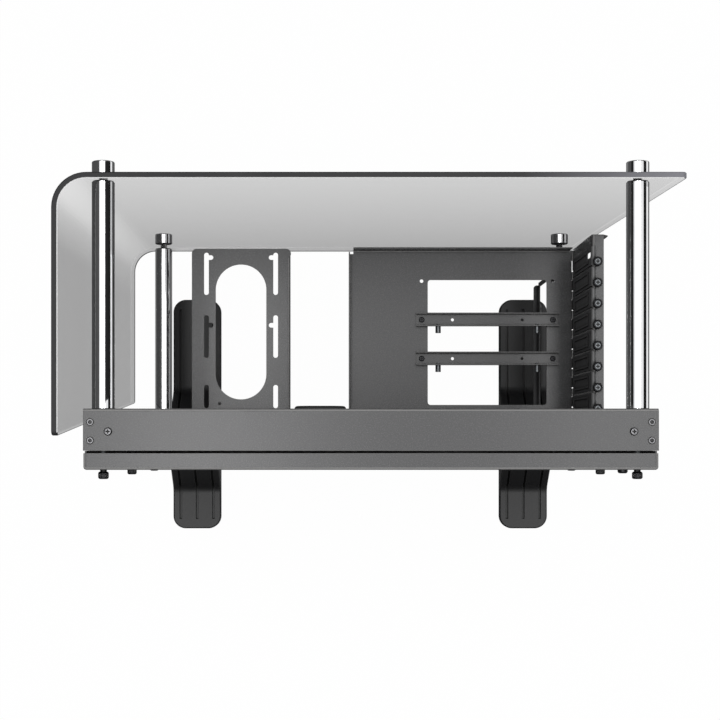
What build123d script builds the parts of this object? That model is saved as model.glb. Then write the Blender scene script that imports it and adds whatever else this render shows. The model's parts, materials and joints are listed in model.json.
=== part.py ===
from build123d import *
import os

os.makedirs("parts", exist_ok=True)

# Upright open air test bench. Sizes in millimetres. While a piece is drawn, x runs to the right as seen
# from the glass side, y runs from the glass to the rear cover with the tray's front face at zero, and z
# runs up from the floor. The finished pieces are then centred over the floor.

# Sheet metal
SHEET = 1.2              # steel of the tray, the rear cover and the card shelf
BRACKET_SHEET = 1.5      # steel of the pump bracket, the power supply bracket and the braces
BEND = 1.2               # inner radius of a fold
FOLD = 3.6               # a fold and the short flat beside it
FIT = 0.15               # play round a screw in its hole

# Screw heads, as shares of the head's own radius and height
PAN_CROWN = 0.45         # rounding of a pan head
CROSS_SPAN = 0.52        # half the length of a cross recess
CROSS_SLOT = 0.12        # half its width
CROSS_FLOOR = 0.45       # level of its floor
COLLAR_RADIUS = 0.82     # collar under a thumbscrew's grip
COLLAR_HEIGHT = 0.22
GRIP_RIM = 0.12          # bevel of the grip
GRIP_FLOOR = 0.68        # level of the recess in the grip
SOCKET_RADIUS = 0.52     # hexagon in a countersunk head
SOCKET_FLOOR = 0.35

# Tray: a front panel folded back along its top and bottom, with a side plate at each end
TRAY_WIDTH = 450.0
TRAY_HEIGHT = 474.0
TRAY_DEPTH = 33.0
SIDE_RETURN = 22.0       # flange of a side plate that carries the cover
SIDE_TAB = 10.0          # tab of a side plate under the tray's top and over its bottom
CORNER_SCREW_INSET = 5.4
CORNER_SCREW_ROWS = (10.6, 25.0)
CORNER_SCREW_HEAD = 3.1  # radius
CORNER_SCREW_SHANK = 1.5
CORNER_SCREW_GRIP = 3.0  # length past the tab of the side plate

# Rear cover: a shallow pan on spacers, held by thumbscrews
COVER_GAP = 2.0
COVER_DEPTH = 13.0
COVER_SCREW_INSET_X = 13.0
COVER_SCREW_ROWS = (0.04, 0.378, 0.715, 0.96)   # shares of the tray's height, from its top
SPACER_RADIUS = 4.5
THUMB_SHANK = 2.0
THUMB_HEAD = 4.2
THUMB_LENGTH = 7.6
PAN_DROP = 77.5          # the one low screw at the left end, below the tray's top
PAN_HEAD = 4.2
PAN_LENGTH = 4.4

# Feet
FOOT_HEIGHT = 38.0       # floor to the underside of the tray
FOOT_SPACING = 368.0
FOOT_WIDTH = 53.5
FOOT_FRONT = 134.0       # reach ahead of the tray's front face
FOOT_REAR = 76.0         # reach behind the rear cover
TONGUE = 10.0            # thickness of the flat tongue
FOOT_SHOULDER = 8.0      # how far the foot's top stands out past the tray's faces
FOOT_TOE = 31.0          # where the slope would meet the tongue, past the tray's faces
FOOT_SWEEP = 14.0        # radius between slope and tongue
FOOT_CORNER = 14.0
FOOT_RIM = 1.2           # bevel round the tongue
GROOVES = 3
GROOVE_PITCH = 18.4
GROOVE_WIDTH = 2.6
GROOVE_DEPTH = 4.0
GROOVE_MARGIN = 11.0     # plain stretch between a groove and the tip of the tongue
PAD_PROUD = 2.0
PAD_SEAT = 1.0           # depth of a pad's recess
PAD_WIDTH = 38.0
PAD_LENGTH = 26.0
PAD_INSET = 22.0         # tip of the foot to the middle of its pad
FOOT_SCREW_ROWS = (9.0, 25.0)
FOOT_SCREW_SHANK = 2.5
FOOT_SCREW_HEAD = 4.5
FOOT_SCREW_HEIGHT = 2.5
FOOT_SCREW_DEPTH = 18.0

# Glass: a front pane bent round one side, with its free edges leaning in towards the bottom
GLASS = 5.0
GLASS_CLEAR = 4.0        # deepest shelf or bracket to the inner face of the glass
GLASS_HEIGHT = 437.0
GLASS_OVERHANG = 22.6    # past the tray's left end
GLASS_LEAN = 20.0        # how much further in the free edge stands at the bottom
WING_GAP = 20.0          # tray's right end to the wing
WING_REACH = 21.5        # wing's rear edge behind the tray's front face, at the top
WING_LEAN = 37.0
GLASS_BEND = 22.5        # inner radius of the bend
GLASS_CORNER = 4.0
GLASS_EDGE = 0.7         # polished bevel
GLASS_FACES = 6          # inside and outside of the pane, the bend and the wing

# Posts that hold the glass
POST_RADIUS = 9.0
POST_INSET_X = 13.5
POST_TOP = 15.0          # top of the glass to the upper posts
POST_BOTTOM = 22.0       # bottom of the glass, or of a shorter tray, to the lower posts
POST_RIM = 0.5
POST_BORE = 14.0         # depth of the threaded hole at each end
POST_STUD = 3.0          # radius of the threads in a post
CAP_LENGTH = 10.0
CAP_RIM = 1.0
WASHER = 0.5
WASHER_RADIUS = 8.2
GLASS_HOLE_PLAY = 0.5
BRACE_WIDTH = 24.0
BRACE_MARGIN = 12.0      # brace or backing plate past the axis of its post
BRACE_REACH = 27.0       # brace's leg under the tray's top
BRACE_SCREW_X = 19.5     # from the end of the tray
BRACE_SCREW_Y = 18.0
BRACE_SCREW_SHANK = 1.7
BRACE_SCREW_HEAD = 3.1
BRACE_SCREW_HEIGHT = 1.9
POST_SCREW_HEAD = 5.2
POST_SCREW_HEIGHT = 3.2
POST_SCREW_GRIP = 10.0   # length in the post

# Card shelf with its slot wall
SHELF_RISE = 90.5        # top of the shelf above the tray's underside
SHELF_DEPTH = 175.2
SHELF_WIDTH = 235.2
SHELF_INSET = 2.6        # tray's left end to the outer face of the slot wall
SHELF_LIP = 18.0
SHELF_PLAY = 0.5         # slot wall to the tray
WALL_HEIGHT = 113.0      # top of the shelf to the top of the slot flange
WALL_FLANGE = 9.8
WALL_RETURN = 15.4       # lip at the front end of the slot wall
WALL_RETURN_DROP = 3.0
SLOTS = 8
SLOT_PITCH = 20.32
SLOT_FIRST = 12.25       # tray's front face to the middle of the first slot
SLOT_OPENING = 13.0
SLOT_SILL = 9.0          # below and above a slot opening
COVER_STRIP = 18.4       # width of a slot cover
STRIP_SHEET = 1.0
STRIP_BEND = 2.0         # full width of a slot cover ends this far out on the flange
STRIP_TAB = 7.2          # narrow tab under the screw, from the wall
STRIP_TAB_HALF = 4.4     # screw to the inner side of that tab
TONGUE_WIDTH = 10.2      # tongue of a slot cover in the shelf
TONGUE_SHIFT = 3.5       # towards the glass from the middle of its slot
TONGUE_DROP = 7.0
TONGUE_SLOT = 1.6        # slit for that tongue, across the shelf
TONGUE_PLAY = 1.2        # length of the slit left open beside the tongue
STRIP_SHOULDER = 4.0     # full width of a slot cover starts this far above the shelf
EMBOSS_WIDTH = 12.0
EMBOSS_MARGIN = 16.0     # below and above the pressed frame of a slot cover
EMBOSS_RIM = 1.8
EMBOSS_RISE = 0.8
SLOT_SCREW_OUT = 3.0     # slot wall to the screws on its flange
SLOT_SCREW_SHIFT = 6.35  # towards the tray from the middle of a slot
SLOT_SCREW_HEAD = 4.5
SLOT_SCREW_HEIGHT = 5.6
SLOT_SCREW_SHANK = 1.7
SLOT_SCREW_LENGTH = 8.0
LIFT_WIDTH = 5.8         # upright hole in the front slot cover
LIFT_HEIGHT = 20.0
LIFT_SHIFT = 1.6         # towards the glass from the middle of its slot
LIFT_DROP = 15.0         # top of the slot flange to the middle of that hole
WINDOW_WIDTH = 124.4
WINDOW_DEPTH = 130.8
WINDOW_BACK = 12.4       # tray's front face to the window
WINDOW_CORNER = 3.0
WINDOW_OFFSET = 90.2     # slot wall to the middle of the window
SHELF_SCREW_INSET = 28.0
SHELF_SCREWS = 3

# Riser rails across the window
RAIL_LENGTH = 149.0
RAIL_WIDTH = 14.0
RAIL_HEIGHT = 8.0
RAIL_FRONT = 101.44      # tray's front face to the middle of each rail
RAIL_REAR = 60.8
SPARE_HOLES = 142.08     # free pair of holes for a rail
RAIL_SCREW_SPAN = 137.3
RAIL_HOLE_SPAN = 72.8
RAIL_HOLE = 1.6
RISER_PIN_SPAN = 103.3
RISER_PIN_RADIUS = 2.8
RISER_PIN_LENGTH = 7.0
RISER_PIN_STUD = 1.5
RAIL_SCREW_HEAD = 2.9
RAIL_SCREW_HEIGHT = 2.0
RAIL_SCREW_SHANK = 1.7
RAIL_SCREW_GRIP = 2.6

# Pump and reservoir bracket
PUMP_LEFT = 75.3
PUMP_WIDTH = 103.0
PUMP_DEPTH = 176.0
PUMP_FLANGE = 12.0
PUMP_CORNER = 5.0
PUMP_OPENING_WIDTH = 53.0
PUMP_OPENING_SPAN = (159.5, 18.2)
PUMP_SLOT_SPAN = 72.5
PUMP_SLOT_WIDTH = 5.0
PUMP_SLOTS = ((172.0, 127.6), (106.4, 61.7), (33.4, 9.0))
PUMP_NOTCHES = (166.8, 95.9)
PUMP_NOTCH = 7.2         # slot's middle line to the end of its side notch
PUMP_HOLE_X = 22.3
PUMP_HOLE_Y = 13.6
PUMP_HOLE = 1.6
PUMP_SCREW_INSET = 20.0

# Power supply bracket, with the standard hole pattern of a full-size supply
SUPPLY_WIDTH = 150.0
SUPPLY_HEIGHT = 86.0
SUPPLY_HOLES = ((6.0, 16.0), (6.0, 80.0), (144.0, 80.0), (120.0, 6.0))
SUPPLY_HOLE = 2.0
SUPPLY_EAR = 6.5
SUPPLY_BORDER = 4.5
SUPPLY_INSET = 26.3      # tray's left end to the bracket's outer face
SUPPLY_LEDGE = 6.9       # ledge under the supply
SUPPLY_LEDGE_SHORT = 2.9
SUPPLY_FLANGE = 14.0
SUPPLY_DROP = 0.6        # underside of the shelf to the top of the bracket
SUPPLY_SCREW_INSET = 14.0

# Screws that hold the brackets to the tray
BRACKET_FLANGE = 18.0
BRACKET_SCREW_SHANK = 2.0
BRACKET_SCREW_HEAD = 3.8
BRACKET_SCREW_HEIGHT = 2.6
BRACKET_SCREW_LENGTH = 6.0

# Motherboard seats, in the standard board pattern
BOARD_EDGE = 7.0         # tray's left end to the edge of the board
BOARD_TOP = 25.0         # tray's top to the edge of the board
BOARD_COLUMNS = (10.16, 165.10, 237.49)
BOARD_ROWS = (10.16, 33.02, 167.64, 292.10)
SEAT_HOLE = 1.6          # radius of the threaded hole for a standoff
CUTOUT_EDGE = 38.0       # cooler cut-out, from the tray's left end
CUTOUT_TOP = 50.0
CUTOUT_WIDTH = 120.0
CUTOUT_HEIGHT = 130.0
CUTOUT_CORNER = 6.0

# Rubber grommets
GROMMET_X = 41.0
GROMMET_TOPS = {"upper": 115.0, "middle": 225.0, "lower": 372.0}
GROMMET_WIDTH = 45.0
GROMMET_HEIGHT = 72.0
GROMMET_CORNER = 14.0
GROMMET_LIP = 3.5        # lip over the edge of the panel
GROMMET_WALL = 2.5
GROMMET_FRONT = 5.0
GROMMET_REAR = 1.6
GROMMET_CROWN = 2.6      # rounding of the front lip

# Where things stand, worked out from the sizes above
END = TRAY_WIDTH / 2
BASE = FOOT_HEIGHT
TOP = FOOT_HEIGHT + TRAY_HEIGHT
COVER_FRONT = TRAY_DEPTH + COVER_GAP
COVER_BACK = COVER_FRONT + COVER_DEPTH
GLASS_STANDOFF = max(SHELF_DEPTH, PUMP_DEPTH) + GLASS_CLEAR
GLASS_OUT = GLASS_STANDOFF + GLASS
GLASS_BOTTOM = TOP - GLASS_HEIGHT
GLASS_LEFT = END + GLASS_OVERHANG
WING_OUT = END + WING_GAP + GLASS
POST_X = END - POST_INSET_X
POST_LEVELS = {"upper": TOP - POST_TOP, "lower": max(GLASS_BOTTOM, BASE) + POST_BOTTOM}
SIDES = {"left": -1, "right": 1}
SHELF = BASE + SHELF_RISE
WALL = -(END - SHELF_INSET)          # outer face of the slot wall
WALL_IN = WALL + SHEET
FLANGE = SHELF + WALL_HEIGHT         # top of the slot flange
SLOT_PLACES = [-(SLOT_FIRST + SLOT_PITCH * i) for i in range(SLOTS)]
WINDOW_X = WALL_IN + WINDOW_OFFSET
SUPPLY_X = -(END - SUPPLY_INSET)
SUPPLY_TOP = SHELF - SHEET - SUPPLY_DROP
SUPPLY_SEAT = SUPPLY_TOP - SUPPLY_HEIGHT
SUPPLY_BOTTOM = SUPPLY_SEAT - BRACKET_SHEET
FOOT_TIPS = (-FOOT_FRONT, COVER_BACK + FOOT_REAR)
PIN_LEVEL = SHELF + SHEET + RISER_PIN_RADIUS


def block(x, y, z):
    """Box between two limits along each axis."""
    size = [abs(limits[1] - limits[0]) for limits in (x, y, z)]
    return Pos(sum(x) / 2, sum(y) / 2, sum(z) / 2) * Box(*size)


def prism_x(section, start, end):
    """Section drawn in y and z, drawn out along x."""
    plane = Plane((start, 0, 0), x_dir=(0, 1, 0), z_dir=(1, 0, 0))
    return extrude(plane * section, end - start, dir=(1, 0, 0))


def prism_y(section, start, end):
    """Section drawn in x and z, drawn out along y."""
    plane = Plane((0, start, 0), x_dir=(1, 0, 0), z_dir=(0, -1, 0))
    return extrude(plane * section, end - start, dir=(0, 1, 0))


def prism_z(section, start, end):
    """Section drawn in x and y, drawn out along z."""
    return extrude(Pos(0, 0, start) * section, end - start, dir=(0, 0, 1))


def folded(points, gauge, side, radius=BEND):
    """Section of a sheet with round square folds: the line of one face, thickened to its left or right."""
    face = [Vector(*point) for point in points]
    steps = [(b - a).normalized() for a, b in zip(face, face[1:])]
    thick = gauge if side == Side.LEFT else -gauge
    across = [Vector(-step.Y, step.X) * thick for step in steps]
    back = [face[0] + across[0]]
    back += [corner + one + other for corner, one, other in zip(face[1:], across, across[1:])]
    back += [face[-1] + across[-1]]
    section = Polygon(*face, *reversed(back), align=None)
    for i in range(1, len(face) - 1):
        hollow, outer = (face[i], back[i]) if across[i - 1].dot(steps[i]) < 0 else (back[i], face[i])
        for corner, bend in ((hollow, radius), (outer, radius + gauge)):
            section = fillet(section.vertices().sort_by_distance(corner)[0], bend)
    return section


def rod_x(y, z, radius, start, end):
    return prism_x(Pos(y, z) * Circle(radius), start, end)


def rod_y(x, z, radius, start, end):
    return prism_y(Pos(x, z) * Circle(radius), start, end)


def rod_z(x, y, radius, start, end):
    return prism_z(Pos(x, y) * Circle(radius), start, end)


def solids(pieces):
    """Several loose pieces of one kind."""
    return Compound(children=list(pieces))


def cross_recess(head, height, floor):
    """Cutter for the cross in a head that stands on the level z = 0."""
    span, slot = head * CROSS_SPAN, head * CROSS_SLOT
    bar = block((-span, span), (-slot, slot), (height * floor, height + head))
    return bar + Rot(0, 0, 90) * bar


def screw(head, height, shank, length):
    """Pan head screw that points down, with its head on the level z = 0 and a cross recess."""
    body = rod_z(0, 0, head, 0, height)
    body = fillet(body.edges().sort_by(Axis.Z)[-1], min(height, head) * PAN_CROWN)
    return body - cross_recess(head, height, CROSS_FLOOR) + rod_z(0, 0, shank, -length, 0)


def thumbscrew(head, height, shank, length):
    """Turned thumbscrew that points down, with a collar, a grip and a cross recess."""
    collar = height * COLLAR_HEIGHT
    body = rod_z(0, 0, head * COLLAR_RADIUS, 0, collar)
    grip = rod_z(0, 0, head, collar, height)
    grip = chamfer(grip.edges().filter_by(GeomType.CIRCLE), head * GRIP_RIM)
    return body + grip - cross_recess(head, height, GRIP_FLOOR) + rod_z(0, 0, shank, -length, 0)


HEAD_FRONT = Rot(90, 0, 0)           # a screw's head towards the glass
HEAD_REAR = Rot(-90, 0, 0)           # towards the rear cover
HEAD_DOWN = Rot(180, 0, 0)


def slot_screw_place(y):
    """Place of the screw that belongs to the slot at y, as x and y."""
    return WALL - SLOT_SCREW_OUT, y + SLOT_SCREW_SHIFT


def tongue_span(y):
    """Both sides of a slot cover's tongue, for the slot at y."""
    middle = y - TONGUE_SHIFT
    return middle - TONGUE_WIDTH / 2, middle + TONGUE_WIDTH / 2


def board_seats():
    """Places of the board's seats on the tray, as x and z."""
    left, top = BOARD_EDGE - END, TOP - BOARD_TOP
    first, second, third = BOARD_COLUMNS
    high, low, middle, bottom = BOARD_ROWS
    pattern = [(second, high), (third, high), (first, low)]
    pattern += [(column, row) for row in (middle, bottom) for column in BOARD_COLUMNS]
    return [(left + column, top - row) for column, row in pattern]


def post_places():
    """Name, x and z of each post."""
    return [(f"{level}_{side}", sign * POST_X, z)
            for level, z in POST_LEVELS.items() for side, sign in SIDES.items()]


def shelf_screw_places():
    left, right = WALL_IN + SHELF_SCREW_INSET, WALL_IN + SHELF_WIDTH - SHELF_SCREW_INSET
    step = (right - left) / (SHELF_SCREWS - 1)
    return [(left + step * i, SHELF + BRACKET_FLANGE / 2) for i in range(SHELF_SCREWS)]


def pump_screw_places():
    z = SHELF - BRACKET_FLANGE / 2
    return [(x, z) for x in (PUMP_LEFT + PUMP_SCREW_INSET, PUMP_LEFT + PUMP_WIDTH - PUMP_SCREW_INSET)]


def supply_screw_places():
    x = SUPPLY_X + (SUPPLY_FLANGE + BRACKET_SHEET) / 2
    return [(x, z) for z in (SUPPLY_BOTTOM + SUPPLY_SCREW_INSET, SUPPLY_TOP - SUPPLY_SCREW_INSET)]


def cover_screw_places():
    rows = [TOP - TRAY_HEIGHT * share for share in COVER_SCREW_ROWS]
    return [(sign * (END - COVER_SCREW_INSET_X), z) for sign in SIDES.values() for z in rows]


def pan_screw_place():
    return COVER_SCREW_INSET_X - END, TOP - PAN_DROP


def corner_screw_places():
    """Countersunk screws in the tray's top and bottom, as x, y and the direction of the head."""
    return [(sign * (END - CORNER_SCREW_INSET), y, up)
            for sign in SIDES.values() for y in CORNER_SCREW_ROWS for up in (True, False)]


def brace_screw_places():
    return [sign * (END - BRACE_SCREW_X) for sign in SIDES.values()]


def foot_screw_places(side):
    return [(SIDES[side] * FOOT_SPACING / 2, y) for y in FOOT_SCREW_ROWS]


def grommet_outline(top, shrink):
    """Rounded outline of a grommet, drawn in x and z, smaller all round by shrink."""
    middle = TOP - top - GROMMET_HEIGHT / 2
    size = (GROMMET_WIDTH - 2 * shrink, GROMMET_HEIGHT - 2 * shrink)
    return Pos(GROMMET_X, middle) * RectangleRounded(*size, GROMMET_CORNER - shrink)


def countersink(x, y, up):
    """Countersunk screw, flush with the tray's top or bottom."""
    cone = CORNER_SCREW_HEAD - CORNER_SCREW_SHANK
    head = Pos(0, 0, -cone / 2) * Cone(CORNER_SCREW_SHANK, CORNER_SCREW_HEAD, cone)
    socket = prism_z(RegularPolygon(CORNER_SCREW_HEAD * SOCKET_RADIUS, 6), -cone * SOCKET_FLOOR, cone)
    shank = rod_z(0, 0, CORNER_SCREW_SHANK, -SHEET * 2 - CORNER_SCREW_GRIP, -cone)
    body = head + shank - socket
    return Pos(x, y, TOP) * body if up else Pos(x, y, BASE) * HEAD_DOWN * body


def countersink_hole(x, y, up):
    cone = CORNER_SCREW_HEAD - CORNER_SCREW_SHANK
    hole = Pos(0, 0, -cone / 2) * Cone(CORNER_SCREW_SHANK + FIT, CORNER_SCREW_HEAD + FIT, cone)
    hole += rod_z(0, 0, CORNER_SCREW_SHANK + FIT, -SHEET * 2 - cone, -cone)
    return Pos(x, y, TOP) * hole if up else Pos(x, y, BASE) * HEAD_DOWN * hole


def tray_panel():
    height = (BASE, TOP)
    line = [(TRAY_DEPTH, height[0]), (0, height[0]), (0, height[1]), (TRAY_DEPTH, height[1])]
    panel = prism_x(folded(line, SHEET, Side.RIGHT), -END, END)
    through = (-SHEET, SHEET * 2)
    holes = [rod_y(x, z, POST_STUD + FIT, *through) for _, x, z in post_places()]
    holes += [rod_y(x, z, SEAT_HOLE, *through) for x, z in board_seats()]
    for x, z in shelf_screw_places() + pump_screw_places() + supply_screw_places():
        holes.append(rod_y(x, z, BRACKET_SCREW_SHANK + FIT, *through))
    holes += [prism_y(grommet_outline(top, GROMMET_LIP), *through) for top in GROMMET_TOPS.values()]
    cutout = RectangleRounded(CUTOUT_WIDTH, CUTOUT_HEIGHT, CUTOUT_CORNER)
    cutout = Pos(CUTOUT_EDGE - END + CUTOUT_WIDTH / 2, TOP - CUTOUT_TOP - CUTOUT_HEIGHT / 2) * cutout
    holes.append(prism_y(cutout, *through))
    holes += [countersink_hole(*place) for place in corner_screw_places()]
    holes += [rod_z(x, BRACE_SCREW_Y, BRACE_SCREW_SHANK + FIT, TOP - SHEET * 2, TOP + SHEET)
              for x in brace_screw_places()]
    for side in SIDES:
        for x, y in foot_screw_places(side):
            holes.append(rod_z(x, y, FOOT_SCREW_SHANK + FIT, BASE - SHEET, BASE + SHEET * 2))
    return panel - holes


def tray_side(side):
    sign = SIDES[side]
    low, high = BASE + SHEET, TOP - SHEET
    line = [(sign * (END - SIDE_RETURN), TRAY_DEPTH), (sign * END, TRAY_DEPTH), (sign * END, SHEET)]
    plate = prism_z(folded(line, SHEET, Side.RIGHT if sign > 0 else Side.LEFT), low, high)
    tab_x = (sign * (END - SIDE_TAB), sign * END)
    for z in ((high - BEND, high), (low, low + BEND)):
        plate -= block(tab_x, (0, SHEET + BEND), z)
    tab_y = (SHEET + BRACKET_SHEET + FIT, TRAY_DEPTH - SHEET - BEND)
    plate += block(tab_x, tab_y, (high - SHEET, high)) + block(tab_x, tab_y, (low, low + SHEET))
    holes = [countersink_hole(*place) for place in corner_screw_places()]
    holes += [rod_y(x, z, THUMB_SHANK + FIT, TRAY_DEPTH - SHEET * 2, TRAY_DEPTH + SHEET)
              for x, z in cover_screw_places()]
    return plate - holes


def rear_cover():
    """Shallow pan, lined at both ends so that the gap to the tray is closed there."""
    pan = block((-END, END), (COVER_FRONT, COVER_BACK), (BASE, TOP))
    rim = pan.edges().filter_by(Axis.Y) + pan.faces().sort_by(Axis.Y)[-1].edges()
    pan = fillet(rim, BEND + SHEET)
    depth = (COVER_FRONT - SHEET, COVER_BACK - SHEET)
    hollow = block((SHEET - END, END - SHEET), depth, (BASE + SHEET, TOP - SHEET))
    pan -= fillet(hollow.edges().filter_by(Axis.Y), BEND)
    for sign in SIDES.values():
        lining = (sign * (END - 2 * SHEET), sign * (END - SHEET))
        pan += block(lining, (TRAY_DEPTH + FIT, depth[1]), (BASE + SHEET, TOP - SHEET))
    through = (COVER_FRONT, COVER_BACK + SHEET)
    holes = [rod_y(x, z, THUMB_SHANK + FIT, *through) for x, z in cover_screw_places()]
    holes.append(rod_y(*pan_screw_place(), BRACKET_SCREW_SHANK + FIT, *through))
    return pan - holes


def cover_spacers():
    span = (TRAY_DEPTH, COVER_BACK - SHEET)
    return solids(rod_y(x, z, SPACER_RADIUS, *span) - rod_y(x, z, THUMB_SHANK + FIT, *span)
                  for x, z in cover_screw_places())


def rear_thumbscrews():
    length = COVER_BACK - TRAY_DEPTH + SHEET
    body = HEAD_REAR * thumbscrew(THUMB_HEAD, THUMB_LENGTH, THUMB_SHANK, length)
    return solids(Pos(x, COVER_BACK, z) * body for x, z in cover_screw_places())


def cover_pan_screw():
    x, z = pan_screw_place()
    body = screw(PAN_HEAD, PAN_LENGTH, BRACKET_SCREW_SHANK, BRACKET_SCREW_LENGTH)
    return Pos(x, COVER_BACK, z) * HEAD_REAR * body


def upper_brace(x, z):
    """Angle behind the panel that ties the screw of an upper post to the tray's top."""
    sign = 1 if x > 0 else -1
    edge = TOP - SHEET
    line = [(SHEET, z - BRACE_MARGIN), (SHEET, edge), (BRACE_REACH, edge)]
    angle = prism_x(folded(line, BRACKET_SHEET, Side.RIGHT), x - BRACE_WIDTH / 2, x + BRACE_WIDTH / 2)
    leg = (edge - BRACKET_SHEET * 2, edge + BRACKET_SHEET)
    angle -= block((sign * (END - SIDE_TAB - FIT), sign * END), (SHEET + BRACKET_SHEET, BRACE_REACH * 2), leg)
    angle -= rod_y(x, z, POST_STUD + FIT, 0, SHEET + BRACKET_SHEET * 2)
    return angle - rod_z(sign * (END - BRACE_SCREW_X), BRACE_SCREW_Y, BRACE_SCREW_SHANK + FIT, *leg)


def lower_brace(x, z):
    """Flat backing plate behind the panel for the screw of a lower post."""
    face = Pos(x, z) * (RectangleRounded(BRACE_WIDTH, BRACE_MARGIN * 2, BEND) - Circle(POST_STUD + FIT))
    return prism_y(face, SHEET, SHEET + BRACKET_SHEET)


def brace_screws():
    body = screw(BRACE_SCREW_HEAD, BRACE_SCREW_HEIGHT, BRACE_SCREW_SHANK, SHEET + BRACKET_SHEET * 2)
    return solids(Pos(x, BRACE_SCREW_Y, TOP) * body for x in brace_screw_places())


def tray_corner_screws():
    return solids(countersink(*place) for place in corner_screw_places())


def post(x, z):
    front = WASHER - GLASS_STANDOFF
    bar = rod_y(x, z, POST_RADIUS, front, 0)
    bar = chamfer(bar.edges().filter_by(GeomType.CIRCLE), POST_RIM)
    bar -= rod_y(x, z, POST_STUD + FIT, -POST_BORE, 0)
    return bar - rod_y(x, z, POST_STUD + FIT, front, front + POST_BORE)


def post_cap(x, z):
    seat = -GLASS_OUT - WASHER
    knob = rod_y(x, z, POST_RADIUS, seat - CAP_LENGTH, seat)
    rims = knob.edges().filter_by(GeomType.CIRCLE).sort_by(Axis.Y)
    knob = fillet(rims[:1], CAP_RIM)
    return knob + rod_y(x, z, POST_STUD, seat, seat + 2 * WASHER + GLASS + POST_SCREW_GRIP)


def post_screws():
    seat = SHEET + BRACKET_SHEET
    body = HEAD_REAR * screw(POST_SCREW_HEAD, POST_SCREW_HEIGHT, POST_STUD, seat + POST_SCREW_GRIP)
    return solids(Pos(x, seat, z) * body for _, x, z in post_places())


def glass_washers():
    seats = (-GLASS_OUT - WASHER, -GLASS_STANDOFF)
    ring = Circle(WASHER_RADIUS) - Circle(POST_STUD + FIT)
    return solids(prism_y(Pos(x, z) * ring, seat, seat + WASHER)
                  for _, x, z in post_places() for seat in seats)


def glass_panel():
    wing = WING_OUT - GLASS
    inner = [(-GLASS_LEFT, -GLASS_STANDOFF), (wing, -GLASS_STANDOFF), (wing, WING_REACH)]
    pane = prism_z(folded(inner, GLASS, Side.RIGHT, GLASS_BEND), GLASS_BOTTOM, TOP)
    front = Polygon((-GLASS_LEFT, TOP), (WING_OUT, TOP), (WING_OUT, GLASS_BOTTOM),
                    (GLASS_LEAN - GLASS_LEFT, GLASS_BOTTOM), align=None)
    side = Polygon((-GLASS_OUT, TOP), (WING_REACH, TOP), (WING_REACH - WING_LEAN, GLASS_BOTTOM),
                   (-GLASS_OUT, GLASS_BOTTOM), align=None)
    pane = pane & prism_y(front, -GLASS_OUT, WING_REACH) & prism_x(side, -GLASS_LEFT, WING_OUT)
    free_edge = pane.edges().filter_by(Axis.Y).sort_by(Axis.X)[:2]
    wing_edge = pane.edges().filter_by(Axis.X).sort_by(Axis.Y)[-2:]
    pane = fillet(free_edge + wing_edge, GLASS_CORNER)
    skin = pane.faces().sort_by(SortBy.AREA)[-GLASS_FACES:]
    lines = [edge for face in skin for edge in face.edges()]
    rim = [edge for edge in lines if sum(edge.is_same(other) for other in lines) == 1]
    pane = chamfer(rim, GLASS_EDGE)
    return pane - [rod_y(x, z, POST_STUD + GLASS_HOLE_PLAY, -GLASS_OUT - GLASS, -GLASS_STANDOFF + GLASS)
                   for _, x, z in post_places()]


def card_shelf():
    """Flat shelf with a raised lip on two sides, a flange on the tray and the slot wall at its left end."""
    right, front = WALL_IN + SHELF_WIDTH - SHEET, SHEET - SHELF_DEPTH
    flat_x = (WALL_IN + FOLD, right - FOLD)
    flat_y = (front + FOLD, -SHEET - FOLD)
    shelf = block(flat_x, flat_y, (SHELF - SHEET, SHELF))
    line = [(WALL - WALL_FLANGE, FLANGE), (WALL_IN, FLANGE), (WALL_IN, SHELF), (flat_x[0], SHELF)]
    shelf += prism_y(folded(line, SHEET, Side.RIGHT), front, -SHELF_PLAY)
    line = [(flat_x[1], SHELF), (right, SHELF), (right, SHELF + SHELF_LIP)]
    shelf += prism_y(folded(line, SHEET, Side.RIGHT), *flat_y)
    line = [(flat_y[0], SHELF), (front, SHELF), (front, SHELF + SHELF_LIP)]
    shelf += prism_x(folded(line, SHEET, Side.LEFT), *flat_x)
    line = [(-SHEET, SHELF + BRACKET_FLANGE), (-SHEET, SHELF), (flat_y[1], SHELF)]
    shelf += prism_x(folded(line, SHEET, Side.LEFT), *flat_x)
    level = FLANGE - WALL_RETURN_DROP
    lip = Polygon((WALL_IN, SHELF), (WALL_IN, level), (WALL - WALL_FLANGE, level),
                  (WALL - WALL_RETURN, FLANGE - WALL_FLANGE), (WALL - WALL_RETURN, SHELF), align=None)
    shelf += prism_y(lip, -SHELF_DEPTH, front)
    return shelf - shelf_cuts()


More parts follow.
